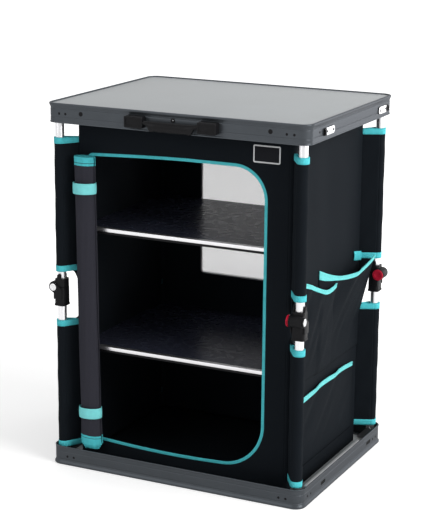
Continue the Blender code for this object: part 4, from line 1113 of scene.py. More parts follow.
class CUPBOARD_OT_latches(bpy.types.Operator):
    """The four closing latches with their rivets, washers and black finger tips"""

    bl_idname = "cupboard.latches"
    bl_label = "Latches"

    def execute(self, context):
        sizes = context.scene.cupboard_fittings
        for row in ("front", "rear"):
            for side, sign in (("left", -1), ("right", 1)):
                where = f"{row}_{side}"
                name, pivot = "latch_" + where, HINGES["latch_turn_" + where]
                outwards = (sign, 0, 0)
                mesh = self.plate(sizes, name, pivot, sign)
                plate = add_piece("latch_plate_" + where, mesh, "latch_steel", name, 30)
                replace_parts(plate, name)
                mesh = self.tip(sizes, name, pivot, sign)
                tip = add_piece("latch_tip_" + where, mesh, "knuckle_plastic", name)
                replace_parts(tip, name)
                washer = turned(dome(0.0086, 0.0005, 0.0006, 3), pivot + (sign * 0.0006, 0, 0), outwards, 32)
                add_piece("latch_washer_" + where, washer, "knuckle_plastic", "top")
                face = (pivot[0] + sign * (LATCH_LIFT + sizes.latch), pivot[1], pivot[2])
                rivet = turned(dome(sizes.latch_rivet, 0.0008, 0.0009), face, outwards, 28)
                add_piece("latch_rivet_" + where, rivet, "dark_rivet", name)
        return {"FINISHED"}

    def plate(self, sizes, name, pivot, sign):
        """A strip with round ends, a hole near its finger tip and a boss at the pivot."""
        half = sizes.latch_half_width
        direction, far = self.outer_end(sizes, name, pivot)
        y0, y1 = sorted((pivot[1], far))
        outline = round_frame((y0 - half, pivot[2] - half), (y1 + half, pivot[2] + half), half * 0.95, 8)[0]
        back, front = pivot[0] + sign * LATCH_LIFT, pivot[0] + sign * (LATCH_LIFT + sizes.latch)
        boss = rod(pivot[1:], 0.004, pivot[0] + sign * 0.0003, front, "X")
        centre = far - direction * (sizes.latch_tip - half + sizes.latch_hole + 0.002)
        hole = rod((centre, pivot[2]), sizes.latch_hole, back - sign * 0.01, front + sign * 0.01, "X", 36)
        return carve(slab(outline, back, front, "X", 0.0003), [boss], [hole])

    def outer_end(self, sizes, name, pivot):
        """Which way a latch points along y, and where its outer end's centre lies."""
        low, high = corners_of(name)
        direction = 1 if high[1] - pivot[1] > pivot[1] - low[1] else -1
        reach = (high[1] - pivot[1] if direction > 0 else pivot[1] - low[1]) - sizes.latch_half_width
        return direction, pivot[1] + direction * reach

    def tip(self, sizes, name, pivot, sign):
        """A black cap over the plate's outer end, with a raised lip to pull it by."""
        direction, far = self.outer_end(sizes, name, pivot)
        half = sizes.latch_half_width
        end = far + direction * half
        y0, y1 = sorted((end - direction * sizes.latch_tip, end))
        front = pivot[0] + sign * (LATCH_LIFT + sizes.latch)
        outline = round_frame((y0, pivot[2] - half), (y1, pivot[2] + half), 0.0022, 5)[0]
        cap = slab(outline, front - sign * (sizes.latch + 0.0004), front + sign * 0.0010, "X", 0.0003)
        lip_start, lip_end, lip_height = 0.0035, 0.0008, 0.0029
        y0, y1 = sorted((end - direction * lip_start, end - direction * lip_end))
        lip = round_frame((y0, pivot[2] - 0.7 * half), (y1, pivot[2] + 0.7 * half), 0.0006, 3)[0]
        return carve(cap, [slab(lip, front, front + sign * lip_height, "X", 0.0003)])


# Shelves


class CUPBOARD_OT_shelves(bpy.types.Operator):
    """The two shelf boards' finish, and their slim aluminium edges"""

    bl_idname = "cupboard.shelves"
    bl_label = "Shelves"

    def execute(self, context):
        for level in ("upper", "lower"):
            dress_node("shelf_" + level, "shelf_board")
            for piece in self.edge("shelf_edge_" + level):
                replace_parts(piece, "shelf_edge_" + level)
        return {"FINISHED"}

    def edge(self, name):
        """A slim channel along the board's front: an upright strip with a narrow flange over the board, and
        the black rail under it that stiffens the board."""
        low, high = corners_of(name)
        y0, y1, z1 = low[1], high[1], high[2]
        z0 = z1 - 0.8 * (z1 - low[2])
        thick = 0.0011
        profile = ((y0, z0), (y0 + thick, z0), (y0 + thick, z1 - thick), (y1, z1 - thick), (y1, z1), (y0, z1))
        strip = slab(soften(profile, 0.0003, 2), low[0], high[0], "X")
        shelf = name.replace("_edge", "")
        channel = add_piece(shelf + "_channel", strip, "edge_aluminium", shelf)
        outline = round_frame((y0 + 0.0004, z0 - 0.0056), (y0 + 0.0064, z0 - 0.0001), 0.0012, 4)[0]
        rail = slab(outline, low[0] + 0.001, high[0] - 0.001, "X")
        return channel, add_piece(shelf + "_rail", rail, "knuckle_plastic", shelf)


# Cloth body


def cloth_piece(name, shape, look, thickness, flat, body="base"):
    """A sheet of cloth with its thickness."""
    thing = add_piece(name, shape, look, body, 60)
    thicken(thing, thickness)
    return thing


def wall_folds(across, up, depth):
    """Soft folds of a hung wall: wide upright waves and slanting ripples that fade towards the edges."""
    span_a, span_u = np.ptp(across), np.ptp(up)
    a, u = (across - across.min()) / span_a, (up - up.min()) / span_u
    fade = ease(np.minimum(a, 1 - a) / 0.16) * ease(np.minimum(u, 1 - u) / 0.10)
    waves = wave(
        (across, up),
        (0.50, 2.4, 0.35, 0.4),
        (0.28, 5.3, -0.9, 1.7),
        (0.16, 9.1, 1.6, 0.2),
        (0.10, 3.1, 6.3, 2.2),
    )
    return depth * fade * waves


def framed_wall(low, high, hole_low, hole_high, radii, rows, y, depth, warp):
    """A flat wall round a hole with round corners. Each point lies between its partner on the hole's edge
    and its partner on the wall's edge, and the folds move it along y."""
    hole = warp(round_frame(hole_low, hole_high, radii, 16, 14)[0])
    edge = round_frame(low, high, np.minimum(radii, 0.03), 16, 14, square=True)[0]
    share = np.linspace(0, 1, rows)[:, None, None]
    flat = closed(hole)[None] * (1 - share) + closed(edge)[None] * share
    near_hole = ease(share[..., 0] * 4)
    moved = y + wall_folds(flat[..., 0], flat[..., 1], depth) * near_hole
    return Shape().grid(np.stack((flat[..., 0], moved, flat[..., 1]), -1), flat)


def side_wall(sizes, side):
    """A side wall with both upright corners: a line in plan that runs along a quarter circle, the straight
    side and another quarter circle, carried up."""
    radius = sizes.corner
    x, y = BODY_HALF_X - sizes.cloth / 2, BODY_HALF_Y - sizes.cloth / 2
    front_centre, rear_centre = (x - radius, radius - y), (x - radius, y - radius)
    front = arc(front_centre, radius, -90, 0, 10)
    rear = arc(rear_centre, radius, 0, 90, 10)
    middle = np.linspace(radius - y, y - radius, 60)[1:-1]
    line = np.concatenate((front, np.column_stack((np.full(len(middle), x), middle)), rear))
    straight = np.tile((radius, 0.0), (len(middle), 1))
    out = np.concatenate((front - front_centre, straight, rear - rear_centre)) / radius
    levels = np.linspace(BODY_LOW[2], BODY_HIGH[2], 90)
    run = travelled(line)
    u, v = np.meshgrid(run, levels)
    folds = wall_folds(u, v, sizes.fold * 1.1)
    points = np.empty((*u.shape, 3))
    points[..., 0] = side * (line[None, :, 0] + out[None, :, 0] * folds)
    points[..., 1] = line[None, :, 1] + out[None, :, 1] * folds
    points[..., 2] = v
    return Shape().grid(points, np.stack((u, v), -1)), float(run[-1])


def opening_radii(sizes):
    """The door opening's corner radii, from its lower right corner round."""
    return (sizes.opening_corner + 0.020, sizes.opening_corner, sizes.sewn_corner, sizes.sewn_corner)


def slackened(points):
    """The doorway hangs slack: its head lies a little low and dips with a power of the way to the sewn
    side, and its foot sags by a half sine. Both fade out towards the middle of its height."""
    x, z = points[..., 0], points[..., 1]
    lowered, dip, sag = 0.0052, 0.0078, 0.0085
    across = np.clip((x - OPENING_LOW[0]) / (OPENING_HIGH[0] - OPENING_LOW[0]), 0, 1)
    head = (lowered + dip * np.clip((0.02 - x) / 0.22, 0, 1.1) ** 1.5) * ease((z - 0.45) / 0.20)
    foot = sag * np.sin(math.pi * across) * ease((0.30 - z) / 0.20)
    return np.stack((x, z - head - foot), -1)


def tape_ring(outline, out, width, thickness, y):
    """A flat binding folded over an edge: a rounded oblong section carried round an outline in the
    upright plane."""
    half, thin = width / 2, thickness / 2
    section = soften(((-half, -thin), (half, -thin), (half, thin), (-half, thin)), thin * 0.9, 4)
    path = np.column_stack((outline[:, 0], np.full(len(outline), y), outline[:, 1]))
    outward = np.column_stack((out[:, 0], np.zeros(len(out)), out[:, 1]))
    return carried(path, outward, (0, 1, 0), section)


class CUPBOARD_OT_body(bpy.types.Operator):
    """The cloth walls and floor, the bindings of the doorway and the window, and the window's mesh"""

    bl_idname = "cupboard.body"
    bl_label = "Cloth body"

    def execute(self, context):
        sizes = context.scene.cupboard_cloth
        self.add_walls(sizes)
        self.add_opening_binding(sizes)
        self.add_window(sizes)
        return {"FINISHED"}

    def add_walls(self, sizes):
        """The front and rear walls round their holes, the side walls with the corners, and the floor."""
        low_z, high_z = float(BODY_LOW[2]), float(BODY_HIGH[2])
        half_x = BODY_HALF_X - sizes.cloth / 2 - sizes.corner
        wall_y = BODY_HALF_Y - sizes.cloth / 2
        high = high_z - low_z
        for name, sign, hole_low, hole_high, radii, warp in (
            ("front_wall", -1, OPENING_LOW, OPENING_HIGH, opening_radii(sizes), slackened),
            ("rear_wall", 1, WINDOW_LOW, WINDOW_HIGH, (sizes.window_corner,) * 4, np.array),
        ):
            low, top, hole = (-half_x, low_z), (half_x, high_z), (hole_low[::2], hole_high[::2])
            shape = framed_wall(low, top, *hole, radii, 26, sign * wall_y, sizes.fold * 0.7, warp)
            cut_away = (1 - math.pi / 4) * float(np.square(radii).sum())
            open_area = float(np.prod(hole[1] - hole[0])) - cut_away
            area = 2 * half_x * high - open_area
            flat = (2 * half_x, high)
            wall = cloth_piece(name, shape, "black_cloth", sizes.cloth, flat)
            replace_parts(crumple(wall), "fabric_body")
        for name, side in (("left_wall", -1), ("right_wall", 1)):
            shape, run = side_wall(sizes, side)
            wall = cloth_piece(name, shape, "black_cloth", sizes.cloth, (run, high))
            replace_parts(crumple(wall), "fabric_body")
        inner = 0.985
        across, along = np.linspace(-BODY_HALF_X, BODY_HALF_X, 40), np.linspace(-wall_y, wall_y, 30)
        x, y = np.meshgrid(across * inner, along * inner)
        z = low_z + 0.0016 + 0.0006 * wave((x, y), (0.5, 4.0, 1.5, 0.3), (0.5, -2.0, 5.0, 1.1))
        floor = Shape().grid(np.stack((x, y, z), -1), np.stack((x, y), -1))
        flat = float(np.ptp(x)), float(np.ptp(y))
        crumple(cloth_piece("cloth_floor", floor, "black_cloth", sizes.cloth, flat))

    def add_opening_binding(self, sizes):
        """The turquoise tape round the doorway's edge, in the trim's colour painted darker as shade."""
        outline, out = round_frame(OPENING_LOW[::2], OPENING_HIGH[::2], opening_radii(sizes), 24, 30)
        tape = tape_ring(slackened(outline), out, sizes.binding, 0.0026, -BODY_HALF_Y + 0.0004)
        binding = add_piece("opening_binding", tape, "door_binding", "base")
        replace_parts(crumple(binding), "opening_piping")

    def add_window(self, sizes):
        """The window's mesh, barely slack, and the tape round it."""
        low, high = WINDOW_LOW[::2], WINDOW_HIGH[::2]
        y = BODY_HALF_Y - sizes.cloth / 2
        x, z = np.meshgrid(np.linspace(low[0], high[0], 40), np.linspace(low[1], high[1], 40))
        sag = 0.0012 * wave((x, z), (0.5, 3.0, 1.0, 0.5), (0.5, -1.0, 4.0, 1.9))
        film = Shape().grid(np.stack((x, y + sag, z), -1), np.stack((x, z), -1))
        outline, out = round_frame(low, high, sizes.window_corner, 12, 12)
        tape = tape_ring(outline, out, 0.0055, 0.0022, y - 0.0003)
        binding = crumple(add_piece("window_binding", tape, "window_mesh", "base"))
        flat = float(high[0] - low[0]), float(high[1] - low[1])
        window = cloth_piece(
            "window_film", film, "window_mesh", 0.0005, flat
        )
        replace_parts(crumple(window), "rear_window")


# Leg sleeves


# From a lower sleeve's foot down to the base rim and from its head up to the knee, and from an upper sleeve's
# foot down to the knee and from its head up to the top rim
ABOVE_BASE, BELOW_KNEE, ABOVE_KNEE, BELOW_TOP = 0.002, 0.074, 0.040, 0.031

# How far down the photograph shows a sleeve's foot and head, from where most sleeves have them
SLID = {
    ("upper", "front_left"): (0.005, 0.002),
    ("upper", "front_right"): (0.0, -0.005),
    ("upper", "rear_right"): (0.004, 0.0),
    ("lower", "front_left"): (0.006, 0.0),
    ("lower", "front_right"): (0.0, -0.012),
    ("lower", "rear_right"): (0.0, -0.005),
}


class SleevePlan:
    """One sleeve seen from above: a teardrop round the leg whose two sides meet at the body's corner."""

    def __init__(self, leg, sizes):
        signs = np.sign(leg.centre)
        inset = np.array((BODY_HALF_X, BODY_HALF_Y)) - sizes.corner
        middle = signs * inset
        away = leg.centre - middle
        self.corner = middle + away / np.linalg.norm(away) * (sizes.corner - sizes.cloth / 2)
        self.leg, self.radius = leg, sizes.sleeve
        reach = leg.centre - self.corner
        self.distance = float(np.linalg.norm(reach))
        self.heading = math.atan2(reach[1], reach[0])
        self.lean = math.asin(self.radius / self.distance)
        self.side = math.sqrt(self.distance**2 - self.radius**2)

    def round_part(self, steps=40):
        """The circle's far side, from one tangent point to the other."""
        half = math.pi / 2 + self.lean
        angles = np.linspace(self.heading - half, self.heading + half, steps)
        return self.leg.centre + self.radius * np.stack((np.cos(angles), np.sin(angles)), -1)

    def web(self, steps=14):
        """Both tangents, through the corner: out from one tangent point and back to the other."""
        share = np.linspace(1, 0, steps)[:, None]
        ends = []
        for turn in (-1, 1):
            angle = self.heading + turn * self.lean
            ends.append(self.corner + self.side * np.array((math.cos(angle), math.sin(angle))))
        first = self.corner + (ends[0] - self.corner) * share
        second = self.corner + (ends[1] - self.corner) * share[::-1]
        shares = np.concatenate((share[:, 0], share[::-1][1:, 0]))
        return np.concatenate((first, second[1:])), shares


def upright_sheet(line, low, high, rows, ripple):
    """A line in plan carried from low to high, which may be arrays along the line. The ripple moves a point
    along the line's own normal by sines of its height and its place."""
    along = np.gradient(line, axis=0)
    out = np.stack((along[:, 1], -along[:, 0]), -1)
    out /= np.maximum(np.linalg.norm(out, axis=1, keepdims=True), 1e-9)
    run = travelled(line)
    share = np.linspace(0, 1, rows)[:, None]
    low, high = np.broadcast_to(low, run.shape), np.broadcast_to(high, run.shape)
    z = low[None] * (1 - share) + high[None] * share
    u = np.broadcast_to(run[None], z.shape)
    edge = ease(np.minimum(share, 1 - share) * 8) if rows > 4 else 0 * share
    ends = ease(np.minimum(u, run[-1] - u) / 0.006)
    shift = ripple * wave((u, z), (0.6, 18.0, 9.0, 0.4), (0.4, -7.0, 21.0, 1.3)) * edge * ends
    points = np.concatenate((line[None] + out[None] * shift[..., None], z[..., None]), -1)
    return Shape().grid(points, np.stack((u, z), -1)), float(run[-1])


class CUPBOARD_OT_sleeves(bpy.types.Operator):
    """The sleeves round the leg tubes, the webs that join them to the body, and their turquoise bands"""

    bl_idname = "cupboard.sleeves"
    bl_label = "Leg sleeves"

    def execute(self, context):
        sizes = context.scene.cupboard_cloth
        knuckle_low = corners_of("lower_knuckle_front_left")[0][2]
        knee = float(HINGES["knee_front_left"][2])
        spans = {
            "lower": (float(BASE_HIGH[2]) + ABOVE_BASE, knee - BELOW_KNEE),
            "upper": (knee + ABOVE_KNEE, float(RIM_LOW[2]) - BELOW_TOP),
        }
        if knuckle_low < spans["lower"][1]:
            raise RuntimeError("The lower sleeve would reach the knuckle")
        for where in CORNERS:
            plan = SleevePlan(LegFrame(where), sizes)
            for half, (low, high) in spans.items():
                down_low, down_high = SLID.get((half, where), (0.0, 0.0))
                low, high = low - down_low, high - down_high
                self.add_sleeve(sizes, plan, half, where, low, high)
                self.add_web(sizes, plan, half, where, low, high)
        return {"FINISHED"}

    def bands(self, sizes, line, low, high, name, body):
        """Two tapes folded over the ends of a sleeve or a web."""
        shape = Shape()
        over = 0.0004
        for start, end in ((low - over, low + sizes.band), (high - sizes.band, high + over)):
            shape.join(upright_sheet(line, start, end, 4, 0)[0])
        return thicken(add_piece(name, shape, "turquoise_tape", body, 60), sizes.band_cloth)

    def add_sleeve(self, sizes, plan, half, where, low, high):
        """The part of a sleeve that runs round its leg, and rides on it."""
        name, body = f"{half}_sleeve_{where}", f"{half}_leg_{where}"
        line = plan.round_part()
        shape, run = upright_sheet(line, low, high, 60, 0.0005)
        trim = self.bands(sizes, line, low, high, name + "_bands", body)
        flat = (run, high - low)
        sleeve = cloth_piece(name, shape, "black_cloth", sizes.cloth, flat, body)
        if half == "lower":
            draw_up(trim)
            draw_up(sleeve)

    def tail(self, sizes, half, where, shares):
        """How far a web runs on past its sleeve's end, towards the knee: a power of how near it is to the
        body's corner. The upper one at the rear right hangs on lower, in an even slope."""
        if (half, where) == ("upper", "rear_right"):
            return (sizes.tail + 0.022) * np.clip((0.8 - shares) / 0.8, 0, 1)
        reach, depth = {"upper": (0.5, 1.25), "lower": (0.35, 0.4)}[half]
        return sizes.tail * depth * np.clip((reach - shares) / reach, 0, 1) ** 1.8

    def add_web(self, sizes, plan, half, where, low, high):
        """The two layers that join a sleeve to the body's corner."""
        name = f"{half}_web_{where}"
        line, shares = plan.web()
        tail = self.tail(sizes, half, where, shares)
        bottom, top = (low, high + tail) if half == "lower" else (low - tail, high)
        shape, run = upright_sheet(line, bottom, top, 60, 0.0006)
        trim = crumple(self.bands(sizes, line, low, high, name + "_bands", "base"))
        web = cloth_piece(name, shape, "black_cloth", sizes.cloth, (run, high - low))
        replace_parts(crumple(web), "fabric_body")


# Rolled door


def spiral(sizes, extra=0.0):
    """The wound door seen from above: an oval spiral, half width and half depth less an even step inwards
    each turn. Returns its outer line, its inner line and the angles."""
    half_width, half_depth = (ROLL_HIGH - ROLL_LOW)[:2] / 2
    angles = np.linspace(0, FULL_TURN * ROLL_TURNS, ROLL_STEPS)
    inward = (sizes.sheet + sizes.gap) * angles / FULL_TURN + 0.0008
    lines = []
    for depth in (inward - extra, inward + sizes.sheet + extra):
        rays = (half_width - depth) * np.cos(angles), (half_depth - depth) * np.sin(angles)
        lines.append(np.stack(rays, -1))
    return *lines, angles


def rolled(sizes, levels, straps, extra=0.0):
    """The spiral carried up. Near a strap it is drawn in by a bell curve of the height and pleated by a
    cosine of the angle; long shallow creases run up it. Towards its foot each inner turn ends a step
    lower. Returns its shape and the length wound."""
    outer, inner, angles = spiral(sizes, extra)
    section = np.concatenate((outer, inner[::-1], outer[:1]))
    around = np.concatenate((angles, angles[::-1], angles[:1]))
    centre = ((ROLL_LOW + ROLL_HIGH) / 2)[:2]
    reach = np.linalg.norm(section, axis=1)
    z, turn = levels[:, None], around[None]
    near = sum(np.exp(-(((z - strap) / 0.024) ** 2)) for strap in straps)
    wide = sum(np.exp(-(((z - strap) / 0.045) ** 2)) for strap in straps)
    pleat = 0.00045 * np.cos(turn * 9 + 0.7) * wide * (1 - near)
    crease = 0.00035 * np.sin(turn * 5 + z * 11) + 0.0003 * np.sin(turn * 11 - z * 23 + 1.0)
    foot = ease((float(ROLL_LOW[2]) + 0.09 - z) / 0.09)
    shrink = (-sizes.cinch * near + pleat + crease - 0.0005 + 0.0012 * foot) / reach[None]
    points = np.empty((*shrink.shape, 3))
    points[..., :2] = centre + section[None] * (1 + shrink[..., None])
    points[..., 0] += leaning(sizes, z)
    points[..., 2] = z + foot * (0.0095 - sizes.stepped * turn / FULL_TURN)
    flat = np.stack(np.meshgrid(travelled(section), levels), -1)
    return Shape().grid(points, flat).lids(points), float(travelled(outer)[-1])


def leaning(sizes, z):
    """How far the roll stands off its middle line at a height."""
    low, high = float(ROLL_LOW[2]), float(ROLL_HIGH[2])
    return sizes.lean * (1 - 2 * (z - low) / (high - low))


class CUPBOARD_OT_door(bpy.types.Operator):
    """The rolled door with its turquoise hems, and the two straps that hold it"""

    bl_idname = "cupboard.door"
    bl_label = "Rolled door"

    def execute(self, context):
        sizes = context.scene.cupboard_door
        low, high = float(ROLL_LOW[2]), float(ROLL_HIGH[2])
        boxes = [corners_of(name) for name in ("roll_strap_lower", "roll_strap_upper")]
        straps = [float((box[0][2] + box[1][2]) / 2) for box in boxes]
        levels = np.linspace(low + 0.0005, high - 0.0005, 150)
        shape, run = rolled(sizes, levels, straps)
        gap, tape, proud = 0.0012, 0.005, 0.0004
        for name, start, end in (
            ("door_hem_lower", low, low + sizes.lower_hem - tape - gap),
            ("door_tape_lower", low + sizes.lower_hem - tape, low + sizes.lower_hem),
            ("door_hem_upper", high - sizes.upper_hem + tape + gap, high),
            ("door_tape_upper", high - sizes.upper_hem, high - sizes.upper_hem + tape),
        ):
            hem = rolled(sizes, np.linspace(start, end, 12), straps, proud)[0]
            crumple(add_piece(name, hem, "turquoise_tape", "base", 40))
        roll = add_piece("rolled_door", shape, "door_cloth", "base", 40)
        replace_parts(crumple(roll), "door_roll")
        for name, box in zip(("door_strap_lower", "door_strap_upper"), boxes):
            self.add_strap(sizes, name, box)
        return {"FINISHED"}

    def add_strap(self, sizes, name, box):
        """An oval band round the roll, its upper edge slightly tipped, its face bowed a little."""
        low, high = box
        half_x, half_y = (high - low)[:2] / 2 - sizes.strap
        centre = ((low + high) / 2)[:2]
        tall = float((high - low)[2]) * 0.9
        angles = np.linspace(0, FULL_TURN, 97)
        share = np.linspace(0, 1, 9)[:, None]
        bow = 0.0006 * (1 - (2 * share - 1) ** 2)
        points = np.empty((9, 97, 3))
        points[..., 0] = centre[0] + leaning(sizes, float(low[2])) + (half_x + bow) * np.cos(angles)
        points[..., 1] = centre[1] + (half_y + bow) * np.sin(angles)
        points[..., 2] = low[2] + tall * share + 0.0008 * np.cos(angles)
        run = travelled(points[0])
        flat = np.stack(np.meshgrid(run, share[:, 0] * tall), -1)
        strap = add_piece(name, Shape().grid(points, flat), "strap_tape", "base", 60)
        thicken(strap, sizes.strap)
        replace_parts(crumple(strap), name.replace("door", "roll"))


# Pockets and patch


SUNK_EDGE = 0.0011  # how deep a pocket's sewn edges lie in the wall
OVER_LIFT = 0.0033  # how far the front pocket stands off the rear one under it
CORNER_TAPE = (0.146, 0.1885), (0.4365, 0.4575)  # the corner tape's ends along y, and its foot and head


class PocketShape:
    """A pocket's ends along y, its foot, which may lie a drop lower than the solid's, and the heights of its
    top edge's ends, with how far that edge sags, to which end the sag leans, and how far the cloth stands
    off the wall. A flared pocket's far end stands off too, and reaches on to the leg's sleeve."""

    def __init__(self, name, ends, tops, sag, lean, bulge, flared=False, reach=0.0, drop=0.0):
        self.foot = float(corners_of(name)[0][2]) - drop
        (self.start, self.end), self.tops = ends, tops
        self.sag, self.lean, self.bulge = sag, lean, bulge
        self.flared, self.reach = flared, reach

    def top(self, across):
        """The slack top edge: a line between its ends, less a half sine of a power of the way across."""
        line = self.tops[0] + (self.tops[1] - self.tops[0]) * across
        return line - self.sag * np.sin(math.pi * across**self.lean)

    def loose(self, up):
        """How much of the bulge is there: a root of the height, or, where flared, an even rise that starts
        a third of the way up."""
        return np.clip((up - 0.33) / 0.67, 0, 1) if self.flared else up**0.6

    def belly(self, across, up):
        """How far the cloth stands off: a half sine across, or a quarter sine where flared, with slanting
        folds that run down from the upper corners; at the sewn sides and foot it sinks into the wall."""
        across, up = np.clip(across, 0, 1), np.clip(up, 0, 1)
        hump = np.sin(math.pi * across)
        shape = np.sin(math.pi / 2 * across) ** 1.3 if self.flared else hump
        folds = (0.0016, 2.1, -1.2, 0.3), (0.0014, 3.4, -2.2, 1.9), (0.0006, 6.5, -3.0, 0.5)
        sewn = 1 - ease(across / 0.03) * ease(up / 0.03)
        folded = wave((across, up), *folds) * hump * ease(up * 2.5)
        return self.bulge * shape * self.loose(up) + folded - SUNK_EDGE * sewn

    def surface(self, face, beneath=None, columns=64, rows=44):
        """The cloth as rows of points. Over the pocket beneath, it lies outside that pocket's cloth."""
        across, up = np.meshgrid(np.linspace(0, 1, columns), np.linspace(0, 1, rows))
        y = self.start + (self.end + self.reach * self.loose(up) - self.start) * across
        z = self.foot + (self.top(across) - self.foot) * up
        x = face + self.belly(across, up)
        if beneath:
            over = np.clip((y - beneath.start) / (beneath.end - beneath.start), 0, 1)
            level = (z - beneath.foot) / (beneath.top(over) - beneath.foot)
            lift = OVER_LIFT * ease((y - beneath.start) / 0.02 + 1)
            x = x + np.clip(beneath.belly(over, level), 0, 1) + lift
        return np.stack((x, y, z), -1), np.stack((y, z), -1)


class CUPBOARD_OT_pockets(bpy.types.Operator):
    """The three pockets on the right wall with their turquoise bindings"""

    bl_idname = "cupboard.pockets"
    bl_label = "Pockets"

    def execute(self, context):
        sizes = context.scene.cupboard_cloth
        rear = PocketShape(
            "pocket_rear", (-0.049, 0.184), (0.4602, 0.4474), 0.0263, 0.98, 0.0345, flared=True, reach=0.001
        )
        front = PocketShape("pocket_front", (-0.184, 0.014), (0.468, 0.4208), 0.0156, 2.08, 0.012)
        lower = PocketShape(
            "pocket_lower", (-0.184, 0.156), (0.2027, 0.2037), -0.0106, 1.37, 0.007, drop=0.022
        )
        face = float(corners_of("pocket_rear")[0][0]) + sizes.cloth / 2
        for name, shape, beneath, swell in (
            ("pocket_rear", rear, None, 1.0),
            ("pocket_front", front, rear, 0.4),
            ("pocket_lower", lower, None, 0.3),
        ):
            self.add_pocket(sizes, name, *shape.surface(face, beneath), swell)
        self.add_corner_tape(face)
        return {"FINISHED"}

    def add_pocket(self, sizes, name, grid, flat, swell):
        """The cloth, and a tape folded over its top edge with a stitched line along its middle. The tape is
        wider by the swell where the edge starts."""
        high = flat[-1, :, 1] - flat[0, :, 1]
        along = np.linspace(0, 1, grid.shape[1])
        wide = sizes.pocket_binding * (1 + swell * (1 - ease(along / 0.35)))
        share = np.linspace(-1, 0, 15)[:, None]
        drop = share * wide + 0.0008
        groove = 0.0006 * np.abs(np.cos(math.pi * share)) ** 0.7
        top, below = grid[-1], grid[-7]
        slope = (top - below) / np.linalg.norm(top - below, axis=1, keepdims=True)
        strip = top[None] + slope[None] * drop[..., None]
        strip[..., 0] += groove
        strip_flat = np.stack(np.broadcast_arrays(travelled(top)[None], drop), -1)
        binding = Shape().grid(strip, strip_flat)
        tape = add_piece(name + "_binding", binding, "pocket_tape", "base", 60)
        crumple(thicken(tape, 0.0026))
        cloth = Shape().grid(grid, flat)
        width = float(np.ptp(flat[..., 0]))
        size, area = (width, float(high.max())), width * float(high.mean())
        piece = cloth_piece(
            name + "_cloth", cloth, "black_cloth", sizes.cloth, size
        )
        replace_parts(crumple(piece), name)

    def add_corner_tape(self, face):
        """The tape that ties the rear sleeve's band to the side wall, over the rear pocket's end."""
        along, up = CORNER_TAPE
        y, z = np.meshgrid(np.linspace(*along, 14), np.linspace(*up, 9))
        bow = 0.0012 * np.sin(math.pi * (z - z.min()) / np.ptp(z))
        z = z + 0.003 - 0.0085 * (y - y.min()) / np.ptp(y)
        shape = Shape().grid(np.stack((face + 0.0008 + bow, y, z), -1), np.stack((y, z), -1))
        tape = add_piece("corner_tape", shape, "turquoise_tape", "base", 60)
        crumple(thicken(tape, 0.0022))


class CUPBOARD_OT_patch(bpy.types.Operator):
    """The small bare patch at the top of the front, with its pale border"""

    bl_idname = "cupboard.patch"
    bl_label = "Patch"

    def execute(self, context):
        face = -BODY_HALF_Y
        inset = np.array((0.0013, 0.0013))
        outline = round_frame(PATCH_LOW, PATCH_HIGH, 0.003, 6)[0]
        cloth = slab(outline, face - 0.0011, face + 0.0004, "Y", 0.0004)
        crumple(add_piece("front_patch", cloth, "patch_cloth", "base"))
        ring, out = round_frame(PATCH_LOW + inset, PATCH_HIGH - inset, 0.002, 6, 12)
        border = tape_ring(ring, out, 0.0030, 0.0011, face - 0.0011)
        crumple(add_piece("patch_border", border, "patch_border", "base"))
        return {"FINISHED"}


# Stage


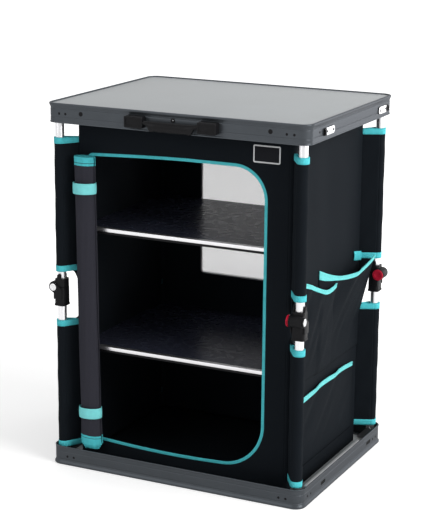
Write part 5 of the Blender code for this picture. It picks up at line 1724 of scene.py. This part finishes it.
class CUPBOARD_OT_stage(bpy.types.Operator):
    """The pale floor, soft lights, white surroundings and the camera"""

    bl_idname = "cupboard.stage"
    bl_label = "Stage"

    def execute(self, context):
        scene = context.scene
        scene.view_settings.view_transform = "Standard"
        self.add_world(scene)
        self.add_floor(scene)
        for name, place, size, power, tint in (
            ("key", (3.2, -0.6, 2.0), 2.4, 110.0, (1.0, 0.99, 0.98)),
            ("top", (-0.3, 0.6, 3.4), 2.6, 20.0, (1.0, 1.0, 1.0)),
            ("rear", (2.0, 3.0, 0.9), 1.8, 30.0, (1.0, 1.0, 1.0)),
            ("fill", (-1.6, -3.6, 1.8), 2.2, 22.0, (0.98, 0.99, 1.0)),
        ):
            self.add_light(scene, name, place, size, power, tint)
        self.add_camera(scene)
        return {"FINISHED"}

    def add_world(self, scene):
        """White where it is seen straight, in a reflection or through mesh, and dimmer as a light."""
        world = bpy.data.worlds.new("studio")
        world.use_nodes = True
        scene.world = world
        nodes = Nodes(world.node_tree, "Background")
        nodes.shader.inputs["Color"].default_value = (1, 1, 1, 1)
        nodes.feed("Strength", nodes.seen() * (1 - WORLD_LIGHT) + WORLD_LIGHT)

    def add_floor(self, scene):
        """A wide flat disc just under the cupboard. What is seen of it glows from pale to white outwards,
        and keeps the cupboard's shadow."""
        angles = np.linspace(0, FULL_TURN, 97)
        radius = np.linspace(0, 14, 30)[:, None]
        points = np.empty((30, 97, 3))
        points[..., 0] = radius * np.cos(angles)
        points[..., 1] = radius * np.sin(angles)
        points[..., 2] = -0.0003
        made = Finish("floor_pale", Roughness=0.9, Specular_IOR_Level=0.1, Emission_Strength=1.0)
        vector, x, y, _ = made.place()
        clouds = made.noise(vector, 3.0)
        made.feed("Base Color", made.blend(clouds, (0.80, 0.80, 0.80), (0.84, 0.84, 0.84)))
        far = (x * x + y * y).ramp(0.25, 3.5)
        glow = made.blend(far, (0.45, 0.45, 0.45), (0.85, 0.85, 0.85))
        made.feed("Emission Color", made.blend(made.seen(), (0.0, 0.0, 0.0), glow))
        floor = bpy.data.objects.new("floor", Shape().grid(points).mesh("floor"))
        floor.data.materials.append(made.material)
        scene.collection.objects.link(floor)

    def add_light(self, scene, name, place, size, power, tint):
        """A round area lamp that faces the cupboard's middle."""
        lamp = bpy.data.lights.new(name, "AREA")
        lamp.shape = "DISK"
        lamp.size, lamp.energy, lamp.color = size, power, tint
        thing = bpy.data.objects.new(name, lamp)
        thing.location = place
        thing.rotation_euler = (thing.location - Vector(LIT_POINT)).to_track_quat("Z", "Y").to_euler()
        scene.collection.objects.link(thing)

    def add_camera(self, scene):
        """The camera stands where the photograph's lines meet."""
        ahead = np.array((
            -math.sin(CAMERA_YAW) * math.cos(CAMERA_PITCH),
            math.cos(CAMERA_YAW) * math.cos(CAMERA_PITCH),
            -math.sin(CAMERA_PITCH),
        ))
        right = np.array((math.cos(CAMERA_YAW), math.sin(CAMERA_YAW), 0.0))
        up = np.cross(right, ahead)
        right, up = (
            math.cos(CAMERA_ROLL) * right + math.sin(CAMERA_ROLL) * up,
            math.cos(CAMERA_ROLL) * up - math.sin(CAMERA_ROLL) * right,
        )
        data = bpy.data.cameras.new("camera")
        data.sensor_width = SENSOR_MM
        data.lens = FOCAL_LENGTH / PHOTO_HEIGHT * SENSOR_MM
        data.clip_end = 60
        camera = bpy.data.objects.new("camera", data)
        rows = np.column_stack((right, up, -ahead, CAMERA_PLACE))
        camera.matrix_world = Matrix([*rows.tolist(), (0, 0, 0, 1)])
        scene.collection.objects.link(camera)
        scene.camera = camera


OPERATORS = (
    CUPBOARD_OT_stage,
    CUPBOARD_OT_trays,
    CUPBOARD_OT_legs,
    CUPBOARD_OT_handle,
    CUPBOARD_OT_latches,
    CUPBOARD_OT_shelves,
    CUPBOARD_OT_body,
    CUPBOARD_OT_sleeves,
    CUPBOARD_OT_door,
    CUPBOARD_OT_pockets,
    CUPBOARD_OT_patch,
)


class CUPBOARD_PT_panel(bpy.types.Panel):
    """The cupboard's pieces, sizes and colours"""

    bl_label = "Camping cupboard"
    bl_idname = "CUPBOARD_PT_panel"
    bl_space_type = "VIEW_3D"
    bl_region_type = "UI"
    bl_category = "Cupboard"

    def draw(self, context):
        column = self.layout.column()
        for operator in OPERATORS:
            column.operator(operator.bl_idname)
        for name, group in GROUPS.items():
            box = self.layout.box()
            box.label(text=group.__doc__)
            for prop in group.__annotations__:
                box.prop(getattr(context.scene, name), prop)


def register():
    """Adds the classes, and the properties to the scene."""
    for group in (*GROUPS.values(), *OPERATORS, CUPBOARD_PT_panel):
        bpy.utils.register_class(group)
    for name, group in GROUPS.items():
        setattr(bpy.types.Scene, name, bpy.props.PointerProperty(type=group))


def unregister():
    """Takes the properties and the classes away again."""
    for name in GROUPS:
        delattr(bpy.types.Scene, name)
    for group in reversed((*GROUPS.values(), *OPERATORS, CUPBOARD_PT_panel)):
        bpy.utils.unregister_class(group)


def main():
    """Makes every piece and the stage."""
    register()
    for operator in OPERATORS:
        area, name = operator.bl_idname.split(".")
        getattr(getattr(bpy.ops, area), name)()


if __name__ == "__main__":
    main()
